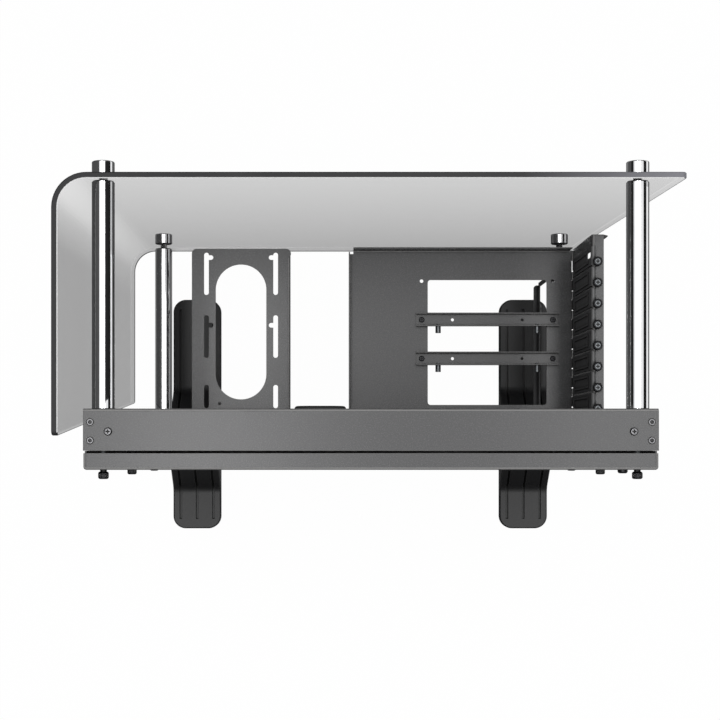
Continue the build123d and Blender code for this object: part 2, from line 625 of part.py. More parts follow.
def shelf_cuts():
    through = (SHELF - SHEET * 2, SHELF + SHEET)
    wall = (WALL - SHEET, WALL_IN + SHEET)
    window = RectangleRounded(WINDOW_WIDTH, WINDOW_DEPTH, WINDOW_CORNER)
    cuts = [prism_z(Pos(WINDOW_X, -WINDOW_BACK - WINDOW_DEPTH / 2) * window, *through)]
    cuts += [rod_z(WINDOW_X + sign * RAIL_SCREW_SPAN / 2, -y, RAIL_SCREW_SHANK + FIT, *through)
             for sign in SIDES.values() for y in (RAIL_FRONT, RAIL_REAR, SPARE_HOLES)]
    slit = (WALL_IN, WALL_IN + TONGUE_SLOT)
    for y in SLOT_PLACES:
        half = SLOT_OPENING / 2
        cuts.append(block(wall, (y - half, y + half), (SHELF + SLOT_SILL, FLANGE - SLOT_SILL)))
        front, back = tongue_span(y)
        cuts.append(block(slit, (front - FIT, back + TONGUE_PLAY), (SHELF - SHEET * 2, SHELF + BEND)))
        top = (FLANGE - SHEET * 2, FLANGE + SHEET)
        cuts.append(rod_z(*slot_screw_place(y), SLOT_SCREW_SHANK + FIT, *top))
    cuts += [rod_y(x, z, BRACKET_SCREW_SHANK + FIT, -SHEET * 2, SHEET) for x, z in shelf_screw_places()]
    return cuts


def slot_cover(y):
    """Strip inside the slot wall: a tab under the screw on the flange, and a tongue in the shelf."""
    foot, sides = SHELF - TONGUE_DROP, (y - COVER_STRIP / 2, y + COVER_STRIP / 2)
    line = [(WALL_IN, foot), (WALL_IN, FLANGE), (WALL - STRIP_TAB, FLANGE)]
    strip = prism_y(folded(line, STRIP_SHEET, Side.RIGHT, BEND + SHEET), *sides)
    front, back = tongue_span(y)
    below = (foot - SHEET, SHELF + STRIP_SHOULDER)
    for side in ((sides[0] - SHEET, front), (back, sides[1] + SHEET)):
        strip -= block((WALL_IN - STRIP_SHEET, WALL_IN + STRIP_SHEET * 2), side, below)
    screw_x, screw_y = slot_screw_place(y)
    tab = (FLANGE - SHEET, FLANGE + STRIP_SHEET * 2)
    beyond = WALL - STRIP_TAB - SHEET
    strip -= block((beyond, WALL - STRIP_BEND), (sides[0] - SHEET, screw_y - STRIP_TAB_HALF), tab)
    notch = SLOT_SCREW_SHANK + FIT
    strip -= rod_z(screw_x, screw_y, notch, *tab)
    strip -= block((beyond, screw_x), (screw_y - notch, screw_y + notch), tab)
    middle, height = (SHELF + FLANGE) / 2, WALL_HEIGHT - 2 * EMBOSS_MARGIN
    inside = Rectangle(EMBOSS_WIDTH - 2 * EMBOSS_RIM, height - 2 * EMBOSS_RIM)
    frame = Rectangle(EMBOSS_WIDTH, height) - inside
    face = WALL_IN + STRIP_SHEET
    return strip + prism_x(Pos(y, middle) * frame, face, face + EMBOSS_RISE)


def front_slot_cover(y):
    """The cover nearest the glass has no tongue, and a hole to lift it out by."""
    strip = slot_cover(y) & block((WALL * 2, 0), (-GLASS_STANDOFF, 0), (SHELF + FIT, FLANGE + FOLD))
    hole = Pos(y - LIFT_SHIFT, FLANGE - LIFT_DROP) * SlotOverall(LIFT_HEIGHT, LIFT_WIDTH, rotation=90)
    return strip - prism_x(hole, WALL_IN - SHEET, WALL_IN + FOLD)


def slot_thumbscrews():
    body = thumbscrew(SLOT_SCREW_HEAD, SLOT_SCREW_HEIGHT, SLOT_SCREW_SHANK, SLOT_SCREW_LENGTH)
    return solids(Pos(*slot_screw_place(y), FLANGE + STRIP_SHEET) * body for y in SLOT_PLACES)


def riser_rail(y):
    half = RAIL_WIDTH / 2
    front, back, edge = y - half, y + half, SHELF + RAIL_HEIGHT
    line = [(front, edge), (front, SHELF), (back, SHELF), (back, edge)]
    rail = prism_x(folded(line, SHEET, Side.LEFT), WINDOW_X - RAIL_LENGTH / 2, WINDOW_X + RAIL_LENGTH / 2)
    floor = (SHELF - SHEET, SHELF + SHEET * 2)
    for sign in SIDES.values():
        rail -= rod_z(WINDOW_X + sign * RAIL_SCREW_SPAN / 2, y, RAIL_SCREW_SHANK + FIT, *floor)
        rail -= rod_z(WINDOW_X + sign * RAIL_HOLE_SPAN / 2, y, RAIL_HOLE, *floor)
        pin_x = WINDOW_X + sign * RISER_PIN_SPAN / 2
        rail -= rod_y(pin_x, PIN_LEVEL, RISER_PIN_STUD + FIT, y, y + RAIL_WIDTH)
    return rail


def riser_standoffs():
    def pin(x, y):
        face = y + RAIL_WIDTH / 2
        stud = rod_y(x, PIN_LEVEL, RISER_PIN_STUD, face - SHEET * 2, face)
        return stud + rod_y(x, PIN_LEVEL, RISER_PIN_RADIUS, face, face + RISER_PIN_LENGTH)
    return solids(pin(WINDOW_X + sign * RISER_PIN_SPAN / 2, -y)
                  for sign in SIDES.values() for y in (RAIL_FRONT, RAIL_REAR))


def rail_screws():
    body = screw(RAIL_SCREW_HEAD, RAIL_SCREW_HEIGHT, RAIL_SCREW_SHANK, RAIL_SCREW_GRIP)
    return solids(Pos(WINDOW_X + sign * RAIL_SCREW_SPAN / 2, -y, SHELF + SHEET) * body
                  for sign in SIDES.values() for y in (RAIL_FRONT, RAIL_REAR))


def bracket_screws(places, gauge):
    body = screw(BRACKET_SCREW_HEAD, BRACKET_SCREW_HEIGHT, BRACKET_SCREW_SHANK, BRACKET_SCREW_LENGTH)
    return solids(Pos(x, -gauge, z) * HEAD_FRONT * body for x, z in places)


def pump_bracket():
    left, right = PUMP_LEFT, PUMP_LEFT + PUMP_WIDTH
    fold = BRACKET_SHEET * 2 + BEND
    plate = block((left + fold, right), (-PUMP_DEPTH, -fold), (SHELF - BRACKET_SHEET, SHELF))
    plate = fillet(plate.edges().filter_by(Axis.Z).sort_by(Axis.Y)[:2].sort_by(Axis.X)[-1], PUMP_CORNER)
    line = [(left, SHELF - PUMP_FLANGE), (left, SHELF), (left + fold, SHELF)]
    plate += prism_y(folded(line, BRACKET_SHEET, Side.RIGHT), PUMP_CORNER - PUMP_DEPTH, -fold)
    nose = Pos(left + fold, PUMP_CORNER - PUMP_DEPTH) * Circle(PUMP_CORNER)
    plate += prism_z(nose, SHELF - BRACKET_SHEET, SHELF)
    line = [(0, SHELF - BRACKET_FLANGE), (0, SHELF), (-fold, SHELF)]
    plate += prism_x(folded(line, BRACKET_SHEET, Side.LEFT), left + fold, right)
    through = (SHELF - BRACKET_SHEET * 2, SHELF + BRACKET_SHEET)
    middle = (left + right) / 2
    front, back = PUMP_OPENING_SPAN
    stadium = Rot(0, 0, 90) * SlotOverall(front - back, PUMP_OPENING_WIDTH)
    cuts = [prism_z(Pos(middle, -(front + back) / 2) * stadium, *through)]
    for sign in SIDES.values():
        x = middle + sign * PUMP_SLOT_SPAN / 2
        for front, back in PUMP_SLOTS:
            slot = Rot(0, 0, 90) * SlotOverall(front - back, PUMP_SLOT_WIDTH)
            cuts.append(prism_z(Pos(x, -(front + back) / 2) * slot, *through))
        for y in PUMP_NOTCHES:
            inner = x - sign * (PUMP_NOTCH - PUMP_SLOT_WIDTH / 2)
            cuts.append(block((x, inner), (-y - PUMP_SLOT_WIDTH / 2, -y + PUMP_SLOT_WIDTH / 2), through))
            cuts.append(rod_z(inner, -y, PUMP_SLOT_WIDTH / 2, *through))
    cuts.append(rod_z(middle + PUMP_HOLE_X, -PUMP_HOLE_Y, PUMP_HOLE, *through))
    cuts += [rod_y(x, z, BRACKET_SCREW_SHANK + FIT, -BRACKET_SHEET * 2, BRACKET_SHEET)
             for x, z in pump_screw_places()]
    return plate - cuts


def psu_bracket():
    outer, inner = SUPPLY_X, SUPPLY_X + BRACKET_SHEET
    line = [(outer + SUPPLY_FLANGE, 0), (outer, 0), (outer, -SUPPLY_WIDTH)]
    frame = prism_z(folded(line, BRACKET_SHEET, Side.LEFT), SUPPLY_BOTTOM, SUPPLY_TOP)
    across = (SUPPLY_BORDER - SUPPLY_WIDTH, -SUPPLY_BORDER)
    up = (SUPPLY_BOTTOM + SUPPLY_BORDER, SUPPLY_TOP - SUPPLY_BORDER)
    frame -= block((outer - SHEET, inner + SHEET), across, up)
    holes = [(-across, SUPPLY_SEAT + up) for across, up in SUPPLY_HOLES]
    bounds = block((outer, inner), (-SUPPLY_WIDTH, -BEND), (SUPPLY_BOTTOM, SUPPLY_TOP))
    frame += [rod_x(y, z, SUPPLY_EAR, outer, inner) & bounds for y, z in holes]
    reach = SUPPLY_WIDTH - SUPPLY_LEDGE_SHORT
    ledge = Pos(outer + SUPPLY_LEDGE / 2, -(reach + BEND) / 2) * Rectangle(SUPPLY_LEDGE, reach - BEND)
    ledge = fillet(ledge.vertices().group_by(Axis.Y)[0].sort_by(Axis.X)[-1], SUPPLY_LEDGE / 2)
    frame += prism_z(ledge, SUPPLY_BOTTOM, SUPPLY_BOTTOM + BRACKET_SHEET)
    frame -= [rod_x(y, z, SUPPLY_HOLE, outer - SHEET, inner + SHEET) for y, z in holes]
    return frame - [rod_y(x, z, BRACKET_SCREW_SHANK + FIT, -BRACKET_SHEET * 2, BRACKET_SHEET)
                    for x, z in supply_screw_places()]


def foot_section():
    """Side view of a foot in y and z: flat tongues, and a leg with sloping faces under the tray."""
    front, rear = FOOT_TIPS
    low, tongue = PAD_PROUD, PAD_PROUD + TONGUE
    toes = (-FOOT_TOE, tongue), (COVER_BACK + FOOT_TOE, tongue)
    outline = Polygon((front, low), (rear, low), (rear, tongue), toes[1], (COVER_BACK + FOOT_SHOULDER, BASE),
                      (-FOOT_SHOULDER, BASE), toes[0], (front, tongue), align=None)
    corners = [outline.vertices().sort_by_distance(Vector(*toe))[0] for toe in toes]
    return fillet(corners, FOOT_SWEEP)


def pad_places():
    front, rear = FOOT_TIPS
    return {"front": front + PAD_INSET, "rear": rear - PAD_INSET}


def foot(side):
    middle = SIDES[side] * FOOT_SPACING / 2
    section = foot_section()
    body = prism_x(section, middle - FOOT_WIDTH / 2, middle + FOOT_WIDTH / 2)
    body = fillet(body.edges().filter_by(Axis.Z), FOOT_CORNER)
    front, rear = FOOT_TIPS
    upper = body.edges().filter_by_position(Axis.Z, PAD_PROUD + TONGUE, BASE)
    across = upper.filter_by(Axis.X).sort_by(Axis.Y)
    body = chamfer(upper.filter_by(Axis.X, reverse=True) + [across[0], across[-1]], FOOT_RIM)
    skin = section - offset(section, -GROOVE_DEPTH)
    zone = block((middle - FOOT_WIDTH, middle + FOOT_WIDTH), (front + GROOVE_MARGIN, rear - GROOVE_MARGIN),
                 (PAD_PROUD + TONGUE / 2, BASE + TONGUE))
    for i in range(GROOVES):
        x = middle + (i - (GROOVES - 1) / 2) * GROOVE_PITCH
        body -= prism_x(skin, x - GROOVE_WIDTH / 2, x + GROOVE_WIDTH / 2) & zone
    wide, long = PAD_WIDTH / 2 + FIT, PAD_LENGTH / 2 + FIT
    for y in pad_places().values():
        body -= block((middle - wide, middle + wide), (y - long, y + long), (0, PAD_PROUD + PAD_SEAT))
    return body - [rod_z(x, y, FOOT_SCREW_SHANK + FIT, BASE - FOOT_SCREW_DEPTH, BASE)
                   for x, y in foot_screw_places(side)]


def foot_pad(side, y):
    middle = SIDES[side] * FOOT_SPACING / 2
    wide, long = PAD_WIDTH / 2, PAD_LENGTH / 2
    pad = block((middle - wide, middle + wide), (y - long, y + long), (0, PAD_PROUD + PAD_SEAT))
    return fillet(pad.edges().filter_by(Axis.Z), PAD_PROUD)


def foot_screws():
    body = screw(FOOT_SCREW_HEAD, FOOT_SCREW_HEIGHT, FOOT_SCREW_SHANK, FOOT_SCREW_DEPTH)
    return solids(Pos(x, y, BASE + SHEET) * body for side in SIDES for x, y in foot_screw_places(side))


def cable_grommet(top):
    inner = grommet_outline(top, GROMMET_LIP + GROMMET_WALL)
    lip = prism_y(grommet_outline(top, 0), -GROMMET_FRONT, 0)
    lip = fillet(lip.faces().sort_by(Axis.Y)[0].edges(), GROMMET_CROWN)
    rear = prism_y(grommet_outline(top, 0), SHEET, SHEET + GROMMET_REAR)
    neck = prism_y(grommet_outline(top, GROMMET_LIP + FIT), 0, SHEET)
    return lip + neck + rear - prism_y(inner, -GROMMET_FRONT * 2, GROMMET_FRONT * 2)


pieces = {
    "tray_panel": tray_panel(),
    "rear_cover": rear_cover(),
    "cover_spacers": cover_spacers(),
    "rear_thumbscrews": rear_thumbscrews(),
    "cover_pan_screw": cover_pan_screw(),
    "tray_corner_screws": tray_corner_screws(),
    "brace_screws": brace_screws(),
    "post_screws": post_screws(),
    "glass_washers": glass_washers(),
    "glass_panel": glass_panel(),
    "card_shelf": card_shelf(),
    "slot_thumbscrews": slot_thumbscrews(),
    "riser_rail_front": riser_rail(-RAIL_FRONT),
    "riser_rail_rear": riser_rail(-RAIL_REAR),
    "riser_standoffs": riser_standoffs(),
    "rail_screws": rail_screws(),
    "shelf_screws": bracket_screws(shelf_screw_places(), SHEET),
    "pump_bracket": pump_bracket(),
    "pump_bracket_screws": bracket_screws(pump_screw_places(), BRACKET_SHEET),
    "psu_bracket": psu_bracket(),
    "psu_bracket_screws": bracket_screws(supply_screw_places(), BRACKET_SHEET),
    "foot_screws": foot_screws(),
}
for name, x, z in post_places():
    pieces[f"post_{name}"] = post(x, z)
    pieces[f"post_cap_{name}"] = post_cap(x, z)
    pieces[f"post_brace_{name}"] = upper_brace(x, z) if name.startswith("upper") else lower_brace(x, z)
for number, y in enumerate(SLOT_PLACES, start=1):
    pieces[f"slot_cover_{number}"] = front_slot_cover(y) if number == SLOTS else slot_cover(y)
for side in SIDES:
    pieces[f"tray_side_{side}"] = tray_side(side)
    pieces[f"foot_{side}"] = foot(side)
    for end, y in pad_places().items():
        pieces[f"foot_pad_{end}_{side}"] = foot_pad(side, y)
for name, top in GROMMET_TOPS.items():
    pieces[f"cable_grommet_{name}"] = cable_grommet(top)

boxes = [piece.bounding_box() for piece in pieces.values()]
middle_x = (min(box.min.X for box in boxes) + max(box.max.X for box in boxes)) / 2
middle_y = (min(box.min.Y for box in boxes) + max(box.max.Y for box in boxes)) / 2
for name, piece in pieces.items():
    export_step(Pos(-middle_x, -middle_y, 0) * piece, f"parts/{name}.step")
print("tray's front face centre stands at", round(-middle_x, 3), round(-middle_y, 3))
print(len(pieces), "nodes")
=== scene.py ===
# %% [markdown]
# An upright open bench for testing computers, seen from straight above. The solid model already has every
# piece at its true size, so it is loaded first and stays fixed. This lesson gives each piece the surface of
# its real material, models the small screws more finely, and sets up the studio and the camera.

# %% Load the bench
import json
import math

import bpy
from mathutils import Matrix, Vector


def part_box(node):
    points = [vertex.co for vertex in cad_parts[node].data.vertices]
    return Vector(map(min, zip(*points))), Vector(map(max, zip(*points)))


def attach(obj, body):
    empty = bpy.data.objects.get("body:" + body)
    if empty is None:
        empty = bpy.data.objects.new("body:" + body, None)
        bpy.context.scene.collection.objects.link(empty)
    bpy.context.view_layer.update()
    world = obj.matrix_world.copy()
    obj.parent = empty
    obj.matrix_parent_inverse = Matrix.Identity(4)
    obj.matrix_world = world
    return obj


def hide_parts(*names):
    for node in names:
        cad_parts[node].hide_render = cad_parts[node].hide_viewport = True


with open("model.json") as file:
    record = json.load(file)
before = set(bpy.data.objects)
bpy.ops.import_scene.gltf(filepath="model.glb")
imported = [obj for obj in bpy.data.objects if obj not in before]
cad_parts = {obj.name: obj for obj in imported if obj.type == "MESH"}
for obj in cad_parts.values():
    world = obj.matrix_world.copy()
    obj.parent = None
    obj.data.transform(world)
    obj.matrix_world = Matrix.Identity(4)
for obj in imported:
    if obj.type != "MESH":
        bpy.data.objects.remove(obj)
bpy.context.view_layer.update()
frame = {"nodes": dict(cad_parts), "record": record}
nodes = frame["nodes"]
MM = 0.001

# %% [markdown]
# The camera of a plan view looks straight down. Its place was worked out from the way the deep pieces shrink
# towards one point, and the lens is as long as that perspective needs. The picture's up is the glass side of
# the bench, so the camera is turned half round. The shift only moves the bench to its place in the picture.

# %% Camera
LENS_MM = 72.0
SENSOR_MM = 36.0
CAMERA_PLACE = Vector((26.01, 61.15, 1636.8)) * MM
FRAME_PIXELS = 720
SHIFT_PIXELS = (24, 81)

camera_data = bpy.data.cameras.new("plan_camera")
camera_data.lens = LENS_MM
camera_data.sensor_width = SENSOR_MM
camera_data.shift_x = SHIFT_PIXELS[0] / FRAME_PIXELS
camera_data.shift_y = SHIFT_PIXELS[1] / FRAME_PIXELS
camera = bpy.data.objects.new("plan_camera", camera_data)
camera.location = CAMERA_PLACE
camera.rotation_euler = (0, 0, math.pi)
bpy.context.scene.collection.objects.link(camera)
bpy.context.scene.camera = camera
print("camera at", tuple(round(value, 3) for value in camera.location))

# %% [markdown]
# Colours are picked as sRGB hex values, as on a screen, while shaders work in linear light, so one function
# turns the first into the second. Another adds a node: an input that is given a plain value is set to it, and
# one that is given another node's output is linked to it. A material then reads as a list of what feeds what.

# %% Colour and node helpers


def linear(hex_colour):
    """Linear colour, with alpha, of an sRGB hex value."""
    channels = [int(hex_colour[i:i + 2], 16) / 255 for i in (1, 3, 5)]
    return (*[c / 12.92 if c <= 0.04045 else ((c + 0.055) / 1.055) ** 2.4 for c in channels], 1.0)


def set_inputs(tree, node, inputs):
    for name, value in inputs.items():
        if isinstance(value, bpy.types.NodeSocket):
            tree.links.new(value, node.inputs[name])
        else:
            node.inputs[name].default_value = value


def add_node(tree, kind, inputs=None, **settings):
    """Adds a node with its settings, and sets or links its inputs by name or number."""
    node = tree.nodes.new("ShaderNode" + kind)
    for name, value in settings.items():
        setattr(node, name, value)
    set_inputs(tree, node, inputs or {})
    return node


def new_material(name):
    """Node material, its tree, its Principled shader and the Object coordinates that its patterns follow."""
    material = bpy.data.materials.new(name)
    material.use_nodes = True
    tree = material.node_tree
    place = add_node(tree, "TexCoord").outputs["Object"]
    return material, tree, tree.nodes["Principled BSDF"], place


print("helpers ready")

# %% [markdown]
# Nearly all of the bench is folded steel under a powder coat. The powder melts into a skin with a fine bumpy
# grain, so it shines softly and shows small speckles of lighter and darker grey. The grain of such a coat is
# about half a millimetre, and here it is drawn a little coarser so that it shows. A broad slow noise keeps
# large plates from looking like one flat colour. Folds and cut edges get a painted highlight, so the paint
# is paler there. A fold is found by its slant: the fourth powers of a direction's three parts add up to one
# on a plate that lies along an axis and to less on a rounded fold. A cut edge is found with a Bevel node,
# which rounds the surface's direction near an edge. The highlight is painted strongest on sides that face
# up, as if lit from above. In the creases, where plates and screw heads meet, an Ambient Occlusion node
# finds the corners, and there the coat gets a painted shade.

# %% Powder coated steel
CLOUD = 90 * MM
PAINT_EDGE = 0.8 * MM
GRAIN_HEIGHT = 0.1 * MM
EDGE_SAMPLES = 6


def powder_coat(name, dark, light, edge, roughness, sheen, grain, shade_reach, shade_start, shade_end):
    """Paint with a grain of two greys, a painted highlight on folds and cut edges and a painted shade in creases.
    """
    material, tree, shader, place = new_material(name)
    speckle = add_node(tree, "TexNoise", {"Vector": place, "Scale": 1 / grain, "Detail": 3.0}).outputs["Fac"]
    cloud = add_node(tree, "TexNoise", {"Vector": place, "Scale": 1 / CLOUD, "Detail": 1.0}).outputs["Fac"]
    amount = add_node(tree, "MapRange", {"Value": speckle, "From Min": 0.3, "From Max": 0.7})
    grey = add_node(tree, "MixRGB", {"Fac": amount.outputs["Result"], "Color1": linear(dark),
                                     "Color2": linear(light)})
    drift = add_node(tree, "MapRange", {"Value": cloud, "From Min": 0.35, "From Max": 0.65, "To Max": 0.2})
    plate = add_node(tree, "MixRGB", {"Fac": drift.outputs["Result"], "Color1": grey.outputs["Color"],
                                      "Color2": linear(dark)})

    # Folds and cut edges get a painted highlight, strongest on sides that face up, as if lit from above.
    flat = add_node(tree, "NewGeometry").outputs["Normal"]
    squares = add_node(tree, "VectorMath", {0: flat, 1: flat}, operation="MULTIPLY").outputs["Vector"]
    powers = add_node(tree, "VectorMath", {0: squares, 1: squares}, operation="DOT_PRODUCT").outputs["Value"]
    fold = add_node(tree, "MapRange", {"Value": powers, "From Min": 0.97, "From Max": 0.8, "To Max": 0.55})
    rounded = add_node(tree, "Bevel", {"Radius": PAINT_EDGE}, samples=EDGE_SAMPLES).outputs["Normal"]
    same = add_node(tree, "VectorMath", {0: rounded, 1: flat}, operation="DOT_PRODUCT").outputs["Value"]
    cut = add_node(tree, "MapRange", {"Value": same, "From Min": 0.995, "From Max": 0.8, "To Max": 0.7})
    thin = add_node(tree, "Math", {0: fold.outputs["Result"], 1: cut.outputs["Result"]}, operation="MAXIMUM")
    up = add_node(tree, "SeparateXYZ", {"Vector": flat}).outputs["Z"]
    upward_highlight = add_node(tree, "MapRange", {"Value": up, "From Min": 0.6, "From Max": 0.9, "To Min": 0.3})
    highlighted_edges = add_node(tree, "Math", {0: thin.outputs["Value"], 1: upward_highlight.outputs["Result"]},
                      operation="MULTIPLY")
    skin = add_node(tree, "MixRGB", {"Fac": highlighted_edges.outputs["Value"], "Color1": plate.outputs["Color"],
                                     "Color2": linear(edge)})
    # Creases that the Ambient Occlusion node finds are painted dark: a painted shade.
    open_sky = add_node(tree, "AmbientOcclusion", {"Distance": shade_reach}, samples=EDGE_SAMPLES)
    crease_shade = add_node(tree, "MapRange", {"Value": open_sky.outputs["AO"], "From Min": shade_start,
                                         "From Max": shade_end, "To Max": 0.9})
    coat = add_node(tree, "MixRGB", {"Fac": crease_shade.outputs["Result"], "Color1": skin.outputs["Color"],
                                     "Color2": linear("#121212")})

    shine = add_node(tree, "MapRange", {"Value": speckle, "To Min": roughness - 0.06,
                                        "To Max": roughness + 0.08})
    bump = add_node(tree, "Bump", {"Height": speckle, "Normal": rounded, "Strength": 0.12,
                                   "Distance": GRAIN_HEIGHT})
    set_inputs(tree, shader, {"Base Color": coat.outputs["Color"], "Roughness": shine.outputs["Result"],
                              "Specular IOR Level": sheen, "Normal": bump.outputs["Normal"]})
    return material


# The edge colour is the painted highlight on folds and cut edges.
bench_paint = powder_coat("powder_coated_steel", dark="#3e3e3f", light="#4f4f50", edge="#b4b3b2",
                          roughness=0.25, sheen=0.35, grain=0.9 * MM,
                          shade_reach=6.0 * MM, shade_start=0.8, shade_end=0.3)
slot_cover_paint = powder_coat("powder_coated_strip_steel", dark="#4e4e4f", light="#5e5e5f", edge="#a4a4a4",
                               roughness=0.7, sheen=0.12, grain=0.7 * MM,
                               shade_reach=4.0 * MM, shade_start=0.98, shade_end=0.7)
print("powder coats ready")

# %% [markdown]
# The posts are turned steel bars under bright chrome plate. Chrome is a mirror, so it shows the studio in
# long bands. It needs a pale metal colour, almost no roughness and the faintest trace of wiping marks.

# %% Polished chrome
WIPING_MARKS = 14 * MM


def chrome_plate(name):
    material, tree, shader, place = new_material(name)
    smear = add_node(tree, "TexNoise", {"Vector": place, "Scale": 1 / WIPING_MARKS, "Detail": 2.0}).outputs["Fac"]
    tone = add_node(tree, "MixRGB", {"Fac": smear, "Color1": linear("#dcdde0"), "Color2": linear("#f0f0f0")})
    blur = add_node(tree, "MapRange", {"Value": smear, "To Min": 0.02, "To Max": 0.06})
    set_inputs(tree, shader, {"Base Color": tone.outputs["Color"], "Roughness": blur.outputs["Result"],
                              "Metallic": 1.0})
    return material


post_chrome = chrome_plate("polished_chrome_plate")
print("chrome ready")

# %% [markdown]
# The spacers, pins and braces and the cores of the thumbscrews are zinc plated. That is duller and mottled by
# the crystals of the zinc, and the crosses and gaps are painted dark as shade.

# %% Zinc plate
ZINC_CRYSTAL = 2.5 * MM
CROSS_SHADE_REACH = 7 * MM


def zinc_plate(name):
    material, tree, shader, place = new_material(name)
    crystal = add_node(tree, "TexNoise", {"Vector": place, "Scale": 1 / ZINC_CRYSTAL, "Detail": 2.0}).outputs["Fac"]
    plate = add_node(tree, "MixRGB", {"Fac": crystal, "Color1": linear("#56585a"), "Color2": linear("#717476")})
    # The crosses and gaps that the Ambient Occlusion node finds are painted dark: a painted shade.
    open_sky = add_node(tree, "AmbientOcclusion", {"Distance": CROSS_SHADE_REACH}, samples=EDGE_SAMPLES).outputs["AO"]
    cross_shade = add_node(tree, "MapRange", {"Value": open_sky, "From Min": 0.85, "From Max": 0.4})
    tone = add_node(tree, "MixRGB", {"Fac": cross_shade.outputs["Result"], "Color1": plate.outputs["Color"],
                                     "Color2": linear("#0d0d0d")})
    blur = add_node(tree, "MapRange", {"Value": crystal, "To Min": 0.36, "To Max": 0.52})
    set_inputs(tree, shader, {"Base Color": tone.outputs["Color"], "Roughness": blur.outputs["Result"],
                              "Metallic": 1.0})
    return material


plain_steel = zinc_plate("zinc_plated_steel")
print("zinc plate ready")

# %% [markdown]
# The small screws are steel blackened in a hot oxide bath. That is a thin dark skin on metal, so it keeps a
# metal's shine. Its edges are paler, with wear and a painted highlight, and the recess for the driver is
# painted black as shade. Flats that face up get a colour of their own, much paler on the countersunk screws
# at the corners, which lie level with the sheet, and on the two pan heads beside them: wear and a painted
# highlight.

# %% Black oxide steel
OXIDE_MOTTLE = 0.8 * MM
SCREW_EDGE = 0.35 * MM
RECESS_REACH = 3 * MM


def black_oxide(name, flats):
    """Blackened steel whose flats that face up have the given colour, as wear and a painted highlight."""
    material, tree, shader, place = new_material(name)
    mottle = add_node(tree, "TexNoise", {"Vector": place, "Scale": 1 / OXIDE_MOTTLE, "Detail": 2.0}).outputs["Fac"]
    bath = add_node(tree, "MixRGB", {"Fac": mottle, "Color1": linear("#141416"), "Color2": linear("#2a2a2d")})
    rounded = add_node(tree, "Bevel", {"Radius": SCREW_EDGE}, samples=EDGE_SAMPLES).outputs["Normal"]
    flat = add_node(tree, "NewGeometry").outputs["Normal"]
    up = add_node(tree, "SeparateXYZ", {"Vector": flat}).outputs["Z"]
    # Flats that face up get their own colour: wear and a painted highlight from above.
    lying = add_node(tree, "MapRange", {"Value": up, "From Min": 0.9, "From Max": 0.97, "To Max": 0.8})
    skin = add_node(tree, "MixRGB", {"Fac": lying.outputs["Result"], "Color1": bath.outputs["Color"],
                                     "Color2": linear(flats)})
    # Edges are painted paler: wear and a painted highlight.
    same = add_node(tree, "VectorMath", {0: rounded, 1: flat}, operation="DOT_PRODUCT").outputs["Value"]
    worn_and_lit_edge = add_node(tree, "MapRange", {"Value": same, "From Min": 0.99, "From Max": 0.75, "To Max": 0.8})
    highlighted_edges = add_node(tree, "MixRGB", {"Fac": worn_and_lit_edge.outputs["Result"], "Color1": skin.outputs["Color"],
                                       "Color2": linear("#9a9a9a")})
    # The recess for the driver is painted black as shade.
    open_sky = add_node(tree, "AmbientOcclusion", {"Distance": RECESS_REACH}, samples=EDGE_SAMPLES).outputs["AO"]
    recess = add_node(tree, "MapRange", {"Value": open_sky, "From Min": 0.93, "From Max": 0.68})
    tone = add_node(tree, "MixRGB", {"Fac": recess.outputs["Result"], "Color1": highlighted_edges.outputs["Color"],
                                     "Color2": linear("#060606")})
    blur = add_node(tree, "MapRange", {"Value": mottle, "To Min": 0.26, "To Max": 0.42})
    set_inputs(tree, shader, {"Base Color": tone.outputs["Color"], "Roughness": blur.outputs["Result"],
                              "Metallic": 0.7, "Normal": rounded})
    return material


# The second oxide has much paler flats that face up: wear and a painted highlight.
screw_black = black_oxide("black_oxide_steel", flats="#242427")
worn_and_lit_black = black_oxide("worn_and_lit_black_oxide_steel", flats="#727274")
print("screw finishes ready")

# %% [markdown]
# The panel is bent tempered glass with a grey tint. Looked at squarely it is clear. Looked at along its face,
# as the camera does here, it mirrors the pale room, and that is painted as a pale veil whose colour, opacity
# and blur follow the angle through a Layer Weight node: a painted reflection. The veil is painted denser, so
# darker, towards the floor and on the wing behind the bend, and thinner, so paler, in the bend: painted shade
# and a painted sheen. Every look through the pane crosses two faces, so each has only half of the veil. The
# ground edges are matt and dark from outside, painted paler towards the free end as a highlight, and clear
# when they are seen through the pane. The polished bevel inside the top edge gets a painted highlight, and a
# narrow dark line is painted along the bottom and the free end.
#
# The pane is one mesh, so its edges are found by where they face. The first function does that. All its
# outputs are one where they hold and nought elsewhere.

# %% Edges of the glass
GLASS_LOW, GLASS_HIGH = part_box("glass_panel")
GLASS_SLANT = 20.0 / 437.0
GLASS_LINE = 1.2 * MM
GLASS_FOOT = 6.0 * MM
WING_REAR = -100 * MM
EDGE_FACES = 0.4
SIDE_FACES = 0.3
LEVEL = 0.95


